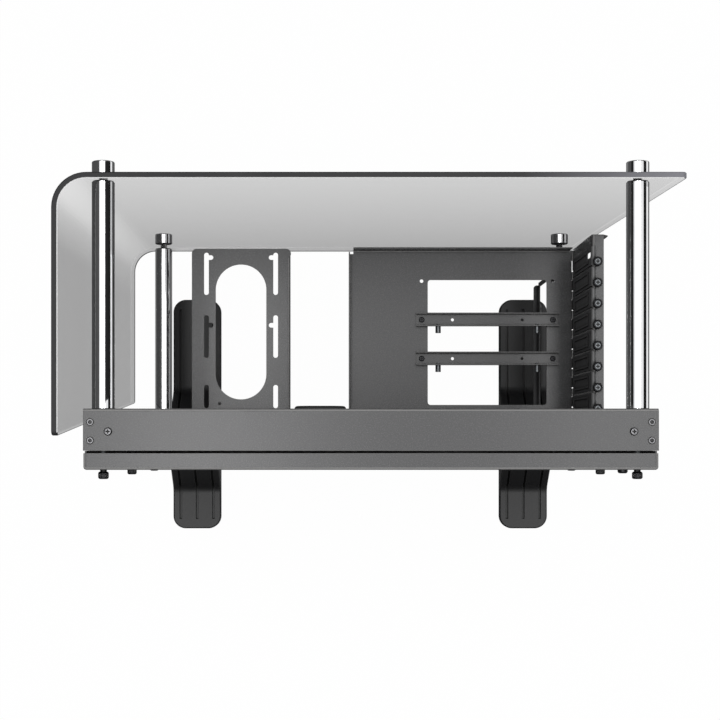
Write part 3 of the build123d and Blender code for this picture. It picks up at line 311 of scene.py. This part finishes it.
def glass_edges(tree, place, spot, normal, backfacing):
    """All edges, the edges and lines that are ground as seen from outside, and the bevel on top that gets a painted
    highlight.
    """
    x, y, z = spot
    across, out, up = normal
    tall = add_node(tree, "Math", {0: up}, operation="ABSOLUTE").outputs["Value"]
    lying = add_node(tree, "Math", {0: tall, 1: EDGE_FACES}, operation="GREATER_THAN").outputs["Value"]
    leftward = add_node(tree, "Math", {0: across, 1: -SIDE_FACES}, operation="LESS_THAN").outputs["Value"]
    left_half = add_node(tree, "Math", {0: x, 1: 0.0}, operation="LESS_THAN").outputs["Value"]
    free_end = add_node(tree, "Math", {0: leftward, 1: left_half}, operation="MULTIPLY").outputs["Value"]
    rearward = add_node(tree, "Math", {0: out, 1: SIDE_FACES}, operation="GREATER_THAN").outputs["Value"]
    rear_half = add_node(tree, "Math", {0: y, 1: WING_REAR}, operation="GREATER_THAN").outputs["Value"]
    wing_end = add_node(tree, "Math", {0: rearward, 1: rear_half}, operation="MULTIPLY").outputs["Value"]
    ends = add_node(tree, "Math", {0: free_end, 1: wing_end}, operation="MAXIMUM").outputs["Value"]
    edges = add_node(tree, "Math", {0: ends, 1: lying}, operation="MAXIMUM").outputs["Value"]

    slanted = add_node(tree, "VectorMath", {0: place, 1: (1, 0, GLASS_SLANT)}, operation="DOT_PRODUCT")
    end_line = GLASS_LOW[0] + GLASS_SLANT * GLASS_HIGH[2] + GLASS_LINE
    near_end = add_node(tree, "Math", {0: slanted.outputs["Value"], 1: end_line}, operation="LESS_THAN")
    near_foot = add_node(tree, "Math", {0: z, 1: GLASS_LOW[2] + GLASS_FOOT}, operation="LESS_THAN")
    near = add_node(tree, "Math", {0: near_end.outputs["Value"], 1: near_foot.outputs["Value"]},
                    operation="MAXIMUM").outputs["Value"]
    inward = add_node(tree, "Math", {0: out, 1: across}, operation="SUBTRACT").outputs["Value"]
    inner = add_node(tree, "Math", {0: inward, 1: SIDE_FACES}, operation="GREATER_THAN").outputs["Value"]
    lines = add_node(tree, "Math", {0: near, 1: inner}, operation="MULTIPLY").outputs["Value"]
    edge_or_line = add_node(tree, "Math", {0: edges, 1: lines}, operation="MAXIMUM").outputs["Value"]
    outside = add_node(tree, "Math", {0: 1.0, 1: backfacing}, operation="SUBTRACT").outputs["Value"]
    ground = add_node(tree, "Math", {0: edge_or_line, 1: outside}, operation="MULTIPLY").outputs["Value"]

    # The inner bevel of the top edge is masked for a painted highlight.
    rim = add_node(tree, "Math", {0: up, 1: EDGE_FACES}, operation="GREATER_THAN").outputs["Value"]
    top = add_node(tree, "Math", {0: up, 1: LEVEL}, operation="GREATER_THAN").outputs["Value"]
    bevel = add_node(tree, "Math", {0: rim, 1: top}, operation="SUBTRACT").outputs["Value"]
    inner_bevel = add_node(tree, "Math", {0: bevel, 1: inner}, operation="MULTIPLY").outputs["Value"]
    along = add_node(tree, "Math", {0: 1.0, 1: ends}, operation="SUBTRACT").outputs["Value"]
    bevel_highlight = add_node(tree, "Math", {0: inner_bevel, 1: along}, operation="MULTIPLY").outputs["Value"]
    return edges, ground, bevel_highlight


print("glass edges ready")

# %% [markdown]
# The veil is made in steps. It starts with a share of opacity that is painted denser towards the bottom of the
# pane as painted shade, denser again on the wing and thinner in the bend, a painted sheen. Only looks along the
# pane see it. A square look sees the clear pane instead.

# %% Tinted glass
VEIL_START, VEIL_END = 0.6, 0.78
BOTTOM_VEIL, TOP_VEIL = 0.365, 0.215
WING_VEIL = 0.41
BEND_SHEEN = -0.14
CLEAR_PANE = 0.15
EDGE_BEHIND = 0.38
BEND_FRONT, BEND_REAR = -132 * MM, -92 * MM
END_HIGHLIGHT_START, END_HIGHLIGHT_END = -120 * MM, -240 * MM


def tinted_glass(name):
    material, tree, shader, place = new_material(name)
    # The veil at looks along the pane is a painted reflection of the pale room.
    facing = add_node(tree, "LayerWeight", {"Blend": 0.5}).outputs["Facing"]
    veil = add_node(tree, "MapRange", {"Value": facing, "From Min": VEIL_START,
                                       "From Max": VEIL_END}).outputs["Result"]
    surface = add_node(tree, "NewGeometry").outputs
    backfacing = surface["Backfacing"]
    spot = add_node(tree, "SeparateXYZ", {"Vector": place}).outputs
    normal = add_node(tree, "SeparateXYZ", {"Vector": surface["True Normal"]}).outputs
    edges, ground, bevel_highlight = glass_edges(tree, place, spot, normal, backfacing)

    seen_through = add_node(tree, "Math", {0: edges, 1: backfacing}, operation="MULTIPLY").outputs["Value"]
    milky = add_node(tree, "Math", {0: veil, 1: seen_through}, operation="MAXIMUM").outputs["Value"]
    tint = add_node(tree, "MixRGB", {"Fac": milky, "Color1": linear("#2b2d30"), "Color2": linear("#5c5c5e")})
    # The ground edge is painted paler towards the free end as a highlight.
    end_highlight = add_node(tree, "MapRange", {"Value": spot["X"], "From Min": END_HIGHLIGHT_START, "From Max": END_HIGHLIGHT_END})
    edge = add_node(tree, "MixRGB", {"Fac": end_highlight.outputs["Result"], "Color1": linear("#1b1b1d"),
                                     "Color2": linear("#7c7c82")})
    dark = add_node(tree, "MixRGB", {"Fac": ground, "Color1": tint.outputs["Color"],
                                     "Color2": edge.outputs["Color"]})
    # The top bevel is painted near white as a highlight.
    colour = add_node(tree, "MixRGB", {"Fac": bevel_highlight, "Color1": dark.outputs["Color"],
                                       "Color2": linear("#f2f2f2")})

    # Painted shade: the veil is denser towards the bottom and on the wing behind the bend.
    body = add_node(tree, "MapRange", {"Value": spot["Z"], "From Min": GLASS_LOW[2], "From Max": GLASS_HIGH[2],
                                       "To Min": BOTTOM_VEIL, "To Max": TOP_VEIL}).outputs["Result"]
    sideways = add_node(tree, "Math", {0: normal["X"]}, operation="ABSOLUTE").outputs["Value"]
    behind = add_node(tree, "MapRange", {"Value": spot["Y"], "From Min": BEND_FRONT,
                                         "From Max": BEND_REAR}).outputs["Result"]
    wing = add_node(tree, "Math", {0: sideways, 1: behind}, operation="MULTIPLY").outputs["Value"]
    even = add_node(tree, "MapRange", {"Value": wing, "To Min": body, "To Max": WING_VEIL}).outputs["Result"]
    # Painted sheen: the veil thins in the bend.
    turned = add_node(tree, "Math", {0: normal["X"], 1: normal["Y"]}, operation="MULTIPLY").outputs["Value"]
    bend = add_node(tree, "Math", {0: turned}, operation="ABSOLUTE").outputs["Value"]
    veil_with_bend_sheen = add_node(tree, "Math", {0: bend, 1: BEND_SHEEN, 2: even}, operation="MULTIPLY_ADD").outputs["Value"]
    pane = add_node(tree, "MapRange", {"Value": veil, "To Min": CLEAR_PANE, "To Max": veil_with_bend_sheen}).outputs["Result"]
    thin = add_node(tree, "MapRange", {"Value": seen_through, "To Min": pane,
                                       "To Max": EDGE_BEHIND}).outputs["Result"]
    opaque = add_node(tree, "Math", {0: thin, 1: ground}, operation="MAXIMUM").outputs["Value"]
    blur = add_node(tree, "MapRange", {"Value": veil, "To Min": 0.03, "To Max": 0.75}).outputs["Result"]
    matt = add_node(tree, "MapRange", {"Value": ground, "To Min": blur, "To Max": 0.65}).outputs["Result"]
    set_inputs(tree, shader, {"Base Color": colour.outputs["Color"], "Alpha": opaque, "Roughness": matt})
    return material


glass = tinted_glass("grey_tempered_glass")
print("glass ready")

# %% [markdown]
# The feet are moulded in dark plastic with a fine spark texture from the mould. Their ribs get a painted
# highlight along the edges and a painted shade in the corners. The grommets, pads and washers are soft black
# rubber, which is duller still.

# %% Moulded plastic and rubber
MOULD_EDGE = 0.6 * MM
CORNER_REACH = 4 * MM


def moulded(name, dark, light, edge_highlight_colour, roughness, grain, sheen):
    """Plastic or rubber with a grain of two tones, a painted highlight on its edges and a painted shade in its
    corners.
    """
    material, tree, shader, place = new_material(name)
    spark = add_node(tree, "TexNoise", {"Vector": place, "Scale": 1 / grain, "Detail": 3.0}).outputs["Fac"]
    amount = add_node(tree, "MapRange", {"Value": spark, "From Min": 0.3, "From Max": 0.7}).outputs["Result"]
    tone = add_node(tree, "MixRGB", {"Fac": amount, "Color1": linear(dark), "Color2": linear(light)})
    blur = add_node(tree, "MapRange", {"Value": spark, "To Min": roughness - 0.07, "To Max": roughness + 0.07})
    # Edges are painted paler as a highlight.
    rounded = add_node(tree, "Bevel", {"Radius": MOULD_EDGE}, samples=EDGE_SAMPLES).outputs["Normal"]
    flat = add_node(tree, "NewGeometry").outputs["Normal"]
    same = add_node(tree, "VectorMath", {0: rounded, 1: flat}, operation="DOT_PRODUCT").outputs["Value"]
    edge = add_node(tree, "MapRange", {"Value": same, "From Min": 0.99, "From Max": 0.8, "To Max": 0.6})
    # Corners that the Ambient Occlusion node finds are painted black as shade.
    open_sky = add_node(tree, "AmbientOcclusion", {"Distance": CORNER_REACH}, samples=EDGE_SAMPLES).outputs["AO"]
    crease_shade = add_node(tree, "MapRange", {"Value": open_sky, "From Min": 0.85, "From Max": 0.4})
    highlighted_edges = add_node(tree, "MixRGB", {"Fac": edge.outputs["Result"], "Color1": tone.outputs["Color"],
                                       "Color2": linear(edge_highlight_colour)})
    skin = add_node(tree, "MixRGB", {"Fac": crease_shade.outputs["Result"], "Color1": highlighted_edges.outputs["Color"],
                                     "Color2": linear("#070707")})
    bump = add_node(tree, "Bump", {"Height": spark, "Normal": rounded, "Strength": 0.15,
                                   "Distance": GRAIN_HEIGHT})
    set_inputs(tree, shader, {"Base Color": skin.outputs["Color"], "Roughness": blur.outputs["Result"],
                              "Specular IOR Level": sheen, "Normal": bump.outputs["Normal"]})
    return material


foot_plastic = moulded("moulded_nylon", dark="#161617", light="#1f1f20", edge_highlight_colour="#565657",
                       roughness=0.42, grain=1.0 * MM, sheen=0.36)
black_rubber = moulded("moulded_rubber", dark="#1d1d1d", light="#2a2a2a", edge_highlight_colour="#3a3a3a",
                       roughness=0.68, grain=0.8 * MM, sheen=0.5)
print("plastic and rubber ready")

# %% [markdown]
# The record says which finish each piece has, so the materials go on by the name of that finish. The bracket
# of the power supply gets the duller paint of the slot covers instead, as a painted shade under the shelf.

# %% Give each piece its finish
FINISHES = {
    "bench_paint": bench_paint,
    "slot_cover_paint": slot_cover_paint,
    "post_chrome": post_chrome,
    "tinted_glass": glass,
    "foot_plastic": foot_plastic,
    "black_rubber": black_rubber,
    "plain_steel": plain_steel,
    "screw_black": screw_black,
}
for subpart in frame["record"]["subparts"]:
    mesh = nodes[subpart["node"]].data
    mesh.materials.clear()
    mesh.materials.append(FINISHES[subpart["material_slot"]])
# Painted shade: the bracket takes the duller strip paint instead of its own bench paint.
nodes["psu_bracket"].data.materials[0] = slot_cover_paint

# %% [markdown]
# The screws are modelled as on a workbench: each starts as an upright cylinder, some of its faces are picked
# by where they point, and these are drawn in, pulled out or bevelled.

# %% Modelling helpers
ROUND_SIDES = 32


def pick_faces(test):
    """Selects those faces of the piece in edit mode that pass the test."""
    bpy.ops.object.mode_set(mode="OBJECT")
    mesh = bpy.context.object.data
    for loose in (mesh.vertices, mesh.edges):
        loose.foreach_set("select", [False] * len(loose))
    for face in mesh.polygons:
        face.select = test(face)
    bpy.ops.object.mode_set(mode="EDIT")


def is_top(face):
    return face.normal.z > 0.9


def is_bottom(face):
    return face.normal.z < -0.9


def start_cylinder(name, sides, radius, low, high):
    """Upright cylinder at the origin, left in edit mode."""
    bpy.ops.object.select_all(action="DESELECT")
    bpy.ops.mesh.primitive_cylinder_add(vertices=sides, radius=radius, depth=high - low)
    bpy.context.object.name = name
    bpy.ops.object.mode_set(mode="EDIT")
    bpy.context.tool_settings.mesh_select_mode = (False, False, True)
    bpy.ops.mesh.select_all(action="SELECT")
    bpy.ops.transform.translate(value=(0, 0, (low + high) / 2))
    return bpy.context.object


def pull_up(distance):
    """Pulls the picked faces up, or down where the distance is below nought, with new sides."""
    bpy.ops.mesh.extrude_region_move(TRANSFORM_OT_translate={"value": (0, 0, distance)})


print("modelling helpers ready")

# %% [markdown]
# The slot covers and the rear cover are held by thumbscrews: a steel screw pressed into a black cap whose side
# is knurled for the fingers. A close look should show the ribs and the cross in the steel, so both pieces are
# cut finer here than in the solid model, at the same places and with heads of the same size. The shanks are
# shorter than there. The cap starts as a cylinder with two sides to a knurl. Its rims are rounded with a
# bevel, and every other side is set in, which leaves the ribs. The top is dished by two insets, and a narrow
# neck is pulled down out of the bottom.

# %% Knurled cap
KNURLS = 24
NECK_SHARE = 0.22
NECK_RADIUS = 0.68
RIM_SHARE = 0.2
RIM_STEPS = 3
DISH_RADIUS = 0.72
DISH_DEPTH = 0.28
KNURL_DEPTH = 0.35 * MM
SLOPE = 0.1 * MM
NEAR = 0.01 * MM


def every_other_side(face):
    turn = math.atan2(face.center.y, face.center.x) / (2 * math.pi) * 2 * KNURLS
    return abs(face.normal.z) < 0.1 and math.floor(turn) % 2 == 0


def screw_cap(name, grip, height):
    """Knurled cap on its seat at nought."""
    neck = NECK_SHARE * height
    cap = start_cylinder(name, 2 * KNURLS, grip, neck, height)
    pick_faces(lambda face: is_top(face) or is_bottom(face))
    bpy.ops.mesh.bevel(offset=RIM_SHARE * height, segments=RIM_STEPS, affect="EDGES")
    pick_faces(every_other_side)
    bpy.ops.mesh.inset(thickness=SLOPE, depth=-KNURL_DEPTH, use_individual=True)
    pick_faces(lambda face: is_top(face) and face.center.z > height - NEAR)
    bpy.ops.mesh.inset(thickness=grip * (1 - DISH_RADIUS) - RIM_SHARE * height)
    bpy.ops.mesh.inset(thickness=SLOPE, depth=-DISH_DEPTH * height)
    pick_faces(lambda face: is_bottom(face) and face.center.z < neck + NEAR)
    bpy.ops.mesh.inset(thickness=grip * (1 - NECK_RADIUS) - RIM_SHARE * height)
    pull_up(-neck)
    bpy.ops.object.mode_set(mode="OBJECT")
    return cap


print("cap of", KNURLS, "knurls ready")

# %% [markdown]
# The steel in the dish of the cap is a low pan with a cross for the driver. The pan is a cylinder with its rim
# drawn in, and the shank is pulled down out of its underside. Two crossed bars cut the cross with a Boolean
# modifier each, as a punch does in a real screw. The same two bars serve the small pan heads further on.

# %% Steel core with a cross
CROSS_WIDTH = 0.32
CORE_PLAY = 0.25 * MM
CORE_BELOW, CORE_ABOVE = 0.5 * MM, 0.9 * MM
CORE_RIM, CORE_CROWN = 0.35 * MM, 0.3 * MM
CORE_CROSS = 0.62
CORE_CROSS_BELOW = 0.4 * MM
PUNCH_HEIGHT = 3 * MM


def punch(piece, tools):
    """Cuts each tool out of the piece and removes the tool."""
    for tool in tools:
        bpy.context.view_layer.objects.active = piece
        cut = piece.modifiers.new("recess", "BOOLEAN")
        cut.object = tool
        cut.solver = "EXACT"
        bpy.ops.object.modifier_apply(modifier=cut.name)
        bpy.data.objects.remove(tool)


def cross_bars(span, floor, height):
    """Two crossed bars of the given half length, from the floor of the cross upwards."""
    bars = []
    for turn in (0, math.pi / 2):
        bpy.ops.object.select_all(action="DESELECT")
        bpy.ops.mesh.primitive_cube_add(size=1, location=(0, 0, floor + height / 2), rotation=(0, 0, turn),
                                        scale=(2 * span, CROSS_WIDTH * 2 * span, height))
        bars.append(bpy.context.object)
    return bars


def pull_shank(from_radius, to_radius, length):
    """Pulls the shank of a screw down out of its flat underside."""
    pick_faces(is_bottom)
    bpy.ops.mesh.inset(thickness=from_radius - to_radius)
    pull_up(-length)
    bpy.ops.object.mode_set(mode="OBJECT")


def screw_core(name, grip, height, shank, length):
    """Steel core: a round pan in the cap's dish, with a cross in it, and the shank below the seat."""
    floor = height * (1 - DISH_DEPTH)
    pan = grip * DISH_RADIUS - CORE_PLAY
    core = start_cylinder(name, ROUND_SIDES, pan, floor - CORE_BELOW, floor + CORE_ABOVE)
    pick_faces(is_top)
    bpy.ops.mesh.inset(thickness=CORE_RIM)
    bpy.ops.transform.translate(value=(0, 0, CORE_CROWN))
    pull_shank(pan, shank, floor - CORE_BELOW + length)
    punch(core, cross_bars(CORE_CROSS * pan, floor - CORE_CROSS_BELOW, PUNCH_HEIGHT))
    return core


print("core ready")

# %% [markdown]
# Each thumbscrew is modelled once and copied to its places, which come from the box of the piece that it
# stands for. A copy gets a mesh of its own, and the copies are joined into one piece per finish.

# %% Put the thumbscrews in place
SMOOTH_ANGLE = math.radians(35)


def put_copies(piece, places, finish, node):
    """Copies a piece to each place, joins the copies and lets them stand for a node of the solid model."""
    copies = []
    for place in places:
        copy = piece.copy()
        copy.data = piece.data.copy()
        copy.data.transform(place)
        bpy.context.scene.collection.objects.link(copy)
        copies.append(copy)
    name = piece.name
    bpy.data.objects.remove(piece)
    bpy.ops.object.select_all(action="DESELECT")
    for copy in copies:
        copy.select_set(True)
    bpy.context.view_layer.objects.active = copies[0]
    bpy.ops.object.join()
    joined = bpy.context.object
    joined.name = name
    bpy.ops.object.shade_smooth_by_angle(angle=SMOOTH_ANGLE)
    joined.data.materials.clear()
    joined.data.materials.append(finish)
    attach(joined, "root")
    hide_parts(node)
    print(joined.name, len(places), "copies", len(joined.data.polygons), "faces")


SLOTS = 8
SLOT_GRIP, SLOT_HEAD = 4.5 * MM, 5.6 * MM
SLOT_SHANK, SLOT_LENGTH = 1.7 * MM, 7.5 * MM
low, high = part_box("slot_thumbscrews")
slot_x, slot_seat = (low[0] + high[0]) / 2, high[2] - SLOT_HEAD
slot_step = (high[1] - low[1] - 2 * SLOT_GRIP) / (SLOTS - 1)
slot_places = [Matrix.Translation((slot_x, low[1] + SLOT_GRIP + i * slot_step, slot_seat)) for i in range(SLOTS)]
put_copies(screw_cap("slot_screw_caps", SLOT_GRIP, SLOT_HEAD), slot_places, screw_black,
           "slot_thumbscrews")
put_copies(screw_core("slot_screw_cores", SLOT_GRIP, SLOT_HEAD, SLOT_SHANK, SLOT_LENGTH), slot_places,
           plain_steel, "slot_thumbscrews")

REAR_GRIP, REAR_HEAD = 4.2 * MM, 7.6 * MM
REAR_SHANK, REAR_LENGTH = 2.0 * MM, 5.0 * MM
REAR_ROWS = (493.0, 332.8, 173.1, 57.0)
low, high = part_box("rear_thumbscrews")
turn_back = Matrix.Rotation(-math.pi / 2, 4, "X")
rear_places = [Matrix.Translation((x, high[1] - REAR_HEAD, row * MM)) @ turn_back
               for x in (low[0] + REAR_GRIP, high[0] - REAR_GRIP) for row in REAR_ROWS]
put_copies(screw_cap("rear_screw_caps", REAR_GRIP, REAR_HEAD), rear_places, screw_black,
           "rear_thumbscrews")
put_copies(screw_core("rear_screw_cores", REAR_GRIP, REAR_HEAD, REAR_SHANK, REAR_LENGTH), rear_places,
           plain_steel, "rear_thumbscrews")

# %% [markdown]
# The corners of the tray are held by countersunk screws with a hexagon socket. The head is a little smaller
# than its countersink, so a dark ring shows round it. It starts as the cylinder between rim and cone: the rim
# is pulled up and drawn in, the underside is drawn in to a cone, the shank is pulled down, and a six-sided bar
# punches the socket.

# %% Countersunk corner screws
COUNTERSINK = 3.1 * MM
CORNER_HEAD = 2.6 * MM
CORNER_FLAT = 2.4 * MM
CORNER_RIM = 0.4 * MM
CORNER_SHANK = 1.5 * MM
CORNER_CONE = 1.6 * MM
CORNER_LENGTH = 5.4 * MM
CORNER_SUNK = 0.05 * MM
SOCKET = 1.6 * MM
SOCKET_DEPTH = 1.1 * MM
SOCKET_SIDES = 6


def draw_in(share):
    """Draws the picked faces in towards the axis."""
    bpy.ops.transform.resize(value=(share, share, 1))


def corner_screw(name):
    """Countersunk screw whose flat lies just under nought."""
    screw = start_cylinder(name, ROUND_SIDES, CORNER_HEAD, -CORNER_CONE, -CORNER_SUNK - CORNER_RIM)
    pick_faces(is_top)
    pull_up(CORNER_RIM)
    draw_in(CORNER_FLAT / CORNER_HEAD)
    pick_faces(is_bottom)
    draw_in(CORNER_SHANK / CORNER_HEAD)
    pull_up(CORNER_CONE - CORNER_LENGTH)
    bpy.ops.object.mode_set(mode="OBJECT")
    bpy.ops.object.select_all(action="DESELECT")
    bpy.ops.mesh.primitive_cylinder_add(vertices=SOCKET_SIDES, radius=SOCKET, depth=2 * SOCKET_DEPTH)
    punch(screw, [bpy.context.object])
    return screw


low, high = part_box("tray_corner_screws")
turn_down = Matrix.Rotation(math.pi, 4, "X")
corner_places = [Matrix.Translation((x, y, z)) @ turn
                 for x in (low[0] + COUNTERSINK, high[0] - COUNTERSINK)
                 for y in (low[1] + COUNTERSINK, high[1] - COUNTERSINK)
                 for z, turn in ((low[2], turn_down), (high[2], Matrix()))]
put_copies(corner_screw("corner_screw_heads"), corner_places, worn_and_lit_black, "tray_corner_screws")

# %% [markdown]
# Two pan heads in the tray's top hold the braces of the posts, and four hold the riser rails. A pan head is a
# cylinder whose upper rim is rounded with a bevel of several steps. Its cross is punched as in the thumbscrews.

# %% Pan head screws
PAN_SHANK = 1.7 * MM
PAN_CROSS = 1.6 * MM
PAN_ROUNDING = 0.5
PAN_STEPS = 4
PAN_FLOOR = 0.35


def pan_head(name, head, height, length):
    """Pan head screw on its seat at nought, with a cross."""
    screw = start_cylinder(name, ROUND_SIDES, head, 0, height)
    pick_faces(is_top)
    bpy.ops.mesh.bevel(offset=PAN_ROUNDING * height, segments=PAN_STEPS, affect="EDGES")
    pull_shank(head, PAN_SHANK, length)
    punch(screw, cross_bars(PAN_CROSS, PAN_FLOOR * height, height))
    return screw


def corners_of(node, head, seat):
    """Places over the four corners of a node's box, or over its two ends where the box is one head deep."""
    low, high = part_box(node)
    rows = [low[1] + head, high[1] - head]
    if rows[1] - rows[0] < head:
        rows = [(low[1] + high[1]) / 2]
    return [Matrix.Translation((x, y, high[2] - seat)) for x in (low[0] + head, high[0] - head) for y in rows]


BRACE_HEAD, BRACE_HEIGHT, BRACE_LENGTH = 3.15 * MM, 1.9 * MM, 4.2 * MM
put_copies(pan_head("brace_screw_heads", BRACE_HEAD, BRACE_HEIGHT, BRACE_LENGTH),
           corners_of("brace_screws", BRACE_HEAD, BRACE_HEIGHT), worn_and_lit_black, "brace_screws")
RAIL_HEAD, RAIL_HEIGHT, RAIL_LENGTH = 2.9 * MM, 2.0 * MM, 2.6 * MM
put_copies(pan_head("rail_screw_heads", RAIL_HEAD, RAIL_HEIGHT, RAIL_LENGTH),
           corners_of("rail_screws", RAIL_HEAD, RAIL_HEIGHT), screw_black, "rail_screws")

# %% [markdown]
# The studio is a white floor under soft light. To the camera, to metal and to glass the floor and the
# surroundings are plain white, while other light meets an ordinary grey floor. The floor keeps a share of its
# own shading for the camera too, so the bench's shadow stays on it.

# %% Floor and surroundings
FLOOR_SIZE = 12.0
FLOOR_GLOW = 0.98
FILL_LIGHT = 0.35
WHITE = "#ffffff"


def seen_rays(tree):
    """One for camera, glossy and transmission rays, nought for the rays that only carry light."""
    path = add_node(tree, "LightPath").outputs
    seen = add_node(tree, "Math", {0: path["Is Camera Ray"], 1: path["Is Glossy Ray"]}, operation="MAXIMUM")
    return add_node(tree, "Math", {0: seen.outputs["Value"], 1: path["Is Transmission Ray"]},
                    operation="MAXIMUM").outputs["Value"]


def white_floor():
    material, tree, shader, _ = new_material("white_studio_floor")
    seen = seen_rays(tree)
    paper = add_node(tree, "MixRGB", {"Fac": seen, "Color1": linear("#c4c4c4"), "Color2": linear(WHITE)})
    set_inputs(tree, shader, {"Base Color": paper.outputs["Color"], "Roughness": 0.9})
    glow = add_node(tree, "Emission", {"Color": linear(WHITE), "Strength": 1.0})
    share = add_node(tree, "Math", {0: seen, 1: FLOOR_GLOW}, operation="MULTIPLY")
    mixed = add_node(tree, "MixShader", {0: share.outputs["Value"], 1: shader.outputs["BSDF"],
                                         2: glow.outputs["Emission"]})
    set_inputs(tree, tree.nodes["Material Output"], {"Surface": mixed.outputs["Shader"]})
    return material


bpy.ops.object.select_all(action="DESELECT")
bpy.ops.mesh.primitive_plane_add(size=FLOOR_SIZE)
floor = bpy.context.object
floor.name = "studio_floor"
floor.data.materials.append(white_floor())

world = bpy.data.worlds.new("white_studio")
world.use_nodes = True
sky = world.node_tree
fill = sky.nodes["Background"]
set_inputs(sky, fill, {"Color": linear(WHITE), "Strength": FILL_LIGHT})
white = add_node(sky, "Background", {"Color": linear(WHITE), "Strength": 1.0})
seen_or_lit = add_node(sky, "MixShader", {0: seen_rays(sky), 1: fill.outputs["Background"],
                                          2: white.outputs["Background"]})
set_inputs(sky, sky.nodes["World Output"], {"Surface": seen_or_lit.outputs["Shader"]})
bpy.context.scene.world = world
print("floor and surroundings ready")

# %% [markdown]
# A wide soft lamp overhead gives most of the light. Two strip lights beside it, the stronger one on the side
# that the glass wraps round, show in the satin paint as two broad glows with a darker stretch between. Chrome
# in an all-white room would look like white plastic, so dark cards stand round the bench, as a photographer
# sets them. A grey one stands close on the side that the glass wraps round and a black one further off on the
# other side. A black strip hangs between the posts, so that the inner side of each has a dark band of its own.
# More cards stand in front and behind and lie on the floor. Each card glows faintly in its own grey, and only
# reflections see the cards. They cast no shadow, and the camera looks through them.

# %% Lamps and dark cards


def soft_lamp(name, place, size, watts):
    """Level lamp that shines straight down."""
    data = bpy.data.lights.new(name, "AREA")
    data.shape = "RECTANGLE"
    data.size, data.size_y = size
    data.energy = watts
    lamp = bpy.data.objects.new(name, data)
    lamp.location = place
    bpy.context.scene.collection.objects.link(lamp)


def dark_card(name, turn, colour, size, place):
    """Card that glows faintly in its own grey and that only reflections see."""
    bpy.ops.object.select_all(action="DESELECT")
    bpy.ops.mesh.primitive_plane_add(size=1.0)
    card = bpy.context.object
    card.name = name
    card.scale = (*size, 1)
    card.rotation_euler = turn
    card.location = place
    bpy.ops.object.transform_apply(location=True, rotation=True, scale=True)
    material, tree, shader, _ = new_material(name + "_cloth")
    set_inputs(tree, shader, {"Base Color": linear("#000000"), "Roughness": 1.0,
                              "Emission Color": linear(colour), "Emission Strength": 1.0})
    card.data.materials.append(material)
    card.visible_camera = False
    card.visible_diffuse = False
    card.visible_transmission = False
    card.visible_shadow = False


CARD_LENGTH = 3.0
CARD_PLACE = 1.2
END_SIZE, END_MIDDLE = (2 * CARD_PLACE, 1.6), 0.82
ON_FLOOR = 1 * MM
SIDE_ON = (0, math.pi / 2, 0)
END_ON = (math.pi / 2, 0, 0)
FLAT = (0, 0, 0)
soft_lamp("ceiling_softbox", place=(0.1, 0.1, 3.0), size=(2.4, 2.4), watts=22)
soft_lamp("right_strip_light", place=(0.37, 0.1, 2.9), size=(0.4, 1.8), watts=16)
soft_lamp("left_strip_light", place=(-0.7, 0.1, 2.9), size=(0.4, 1.8), watts=9)
dark_card("right_card", SIDE_ON, "#4e4e4e", size=(1.12, CARD_LENGTH), place=(0.585, 0, 0.56))
dark_card("middle_strip", SIDE_ON, "#1e1e1e", size=(0.183, 0.275), place=(0.104, -0.1125, 0.6515))
dark_card("left_card", SIDE_ON, "#101010", size=(0.773, CARD_LENGTH), place=(-CARD_PLACE, 0, 0.9865))
dark_card("front_card", END_ON, "#1c1c1c", size=END_SIZE, place=(0, -CARD_LENGTH / 2, END_MIDDLE))
dark_card("rear_card", END_ON, "#1c1c1c", size=END_SIZE, place=(0, CARD_LENGTH / 2, END_MIDDLE))
dark_card("right_floor_card", FLAT, "#7c7c7c", size=(CARD_PLACE, CARD_LENGTH),
          place=(CARD_PLACE / 2, 0, ON_FLOOR))
dark_card("left_floor_card", FLAT, "#565656", size=(0.85, CARD_LENGTH), place=(-0.425, 0, ON_FLOOR))
dark_card("left_floor_strip", FLAT, "#161616", size=(0.35, CARD_LENGTH), place=(-1.025, 0, ON_FLOOR))
bpy.context.scene.view_settings.view_transform = "Standard"
print("lamps and cards ready")
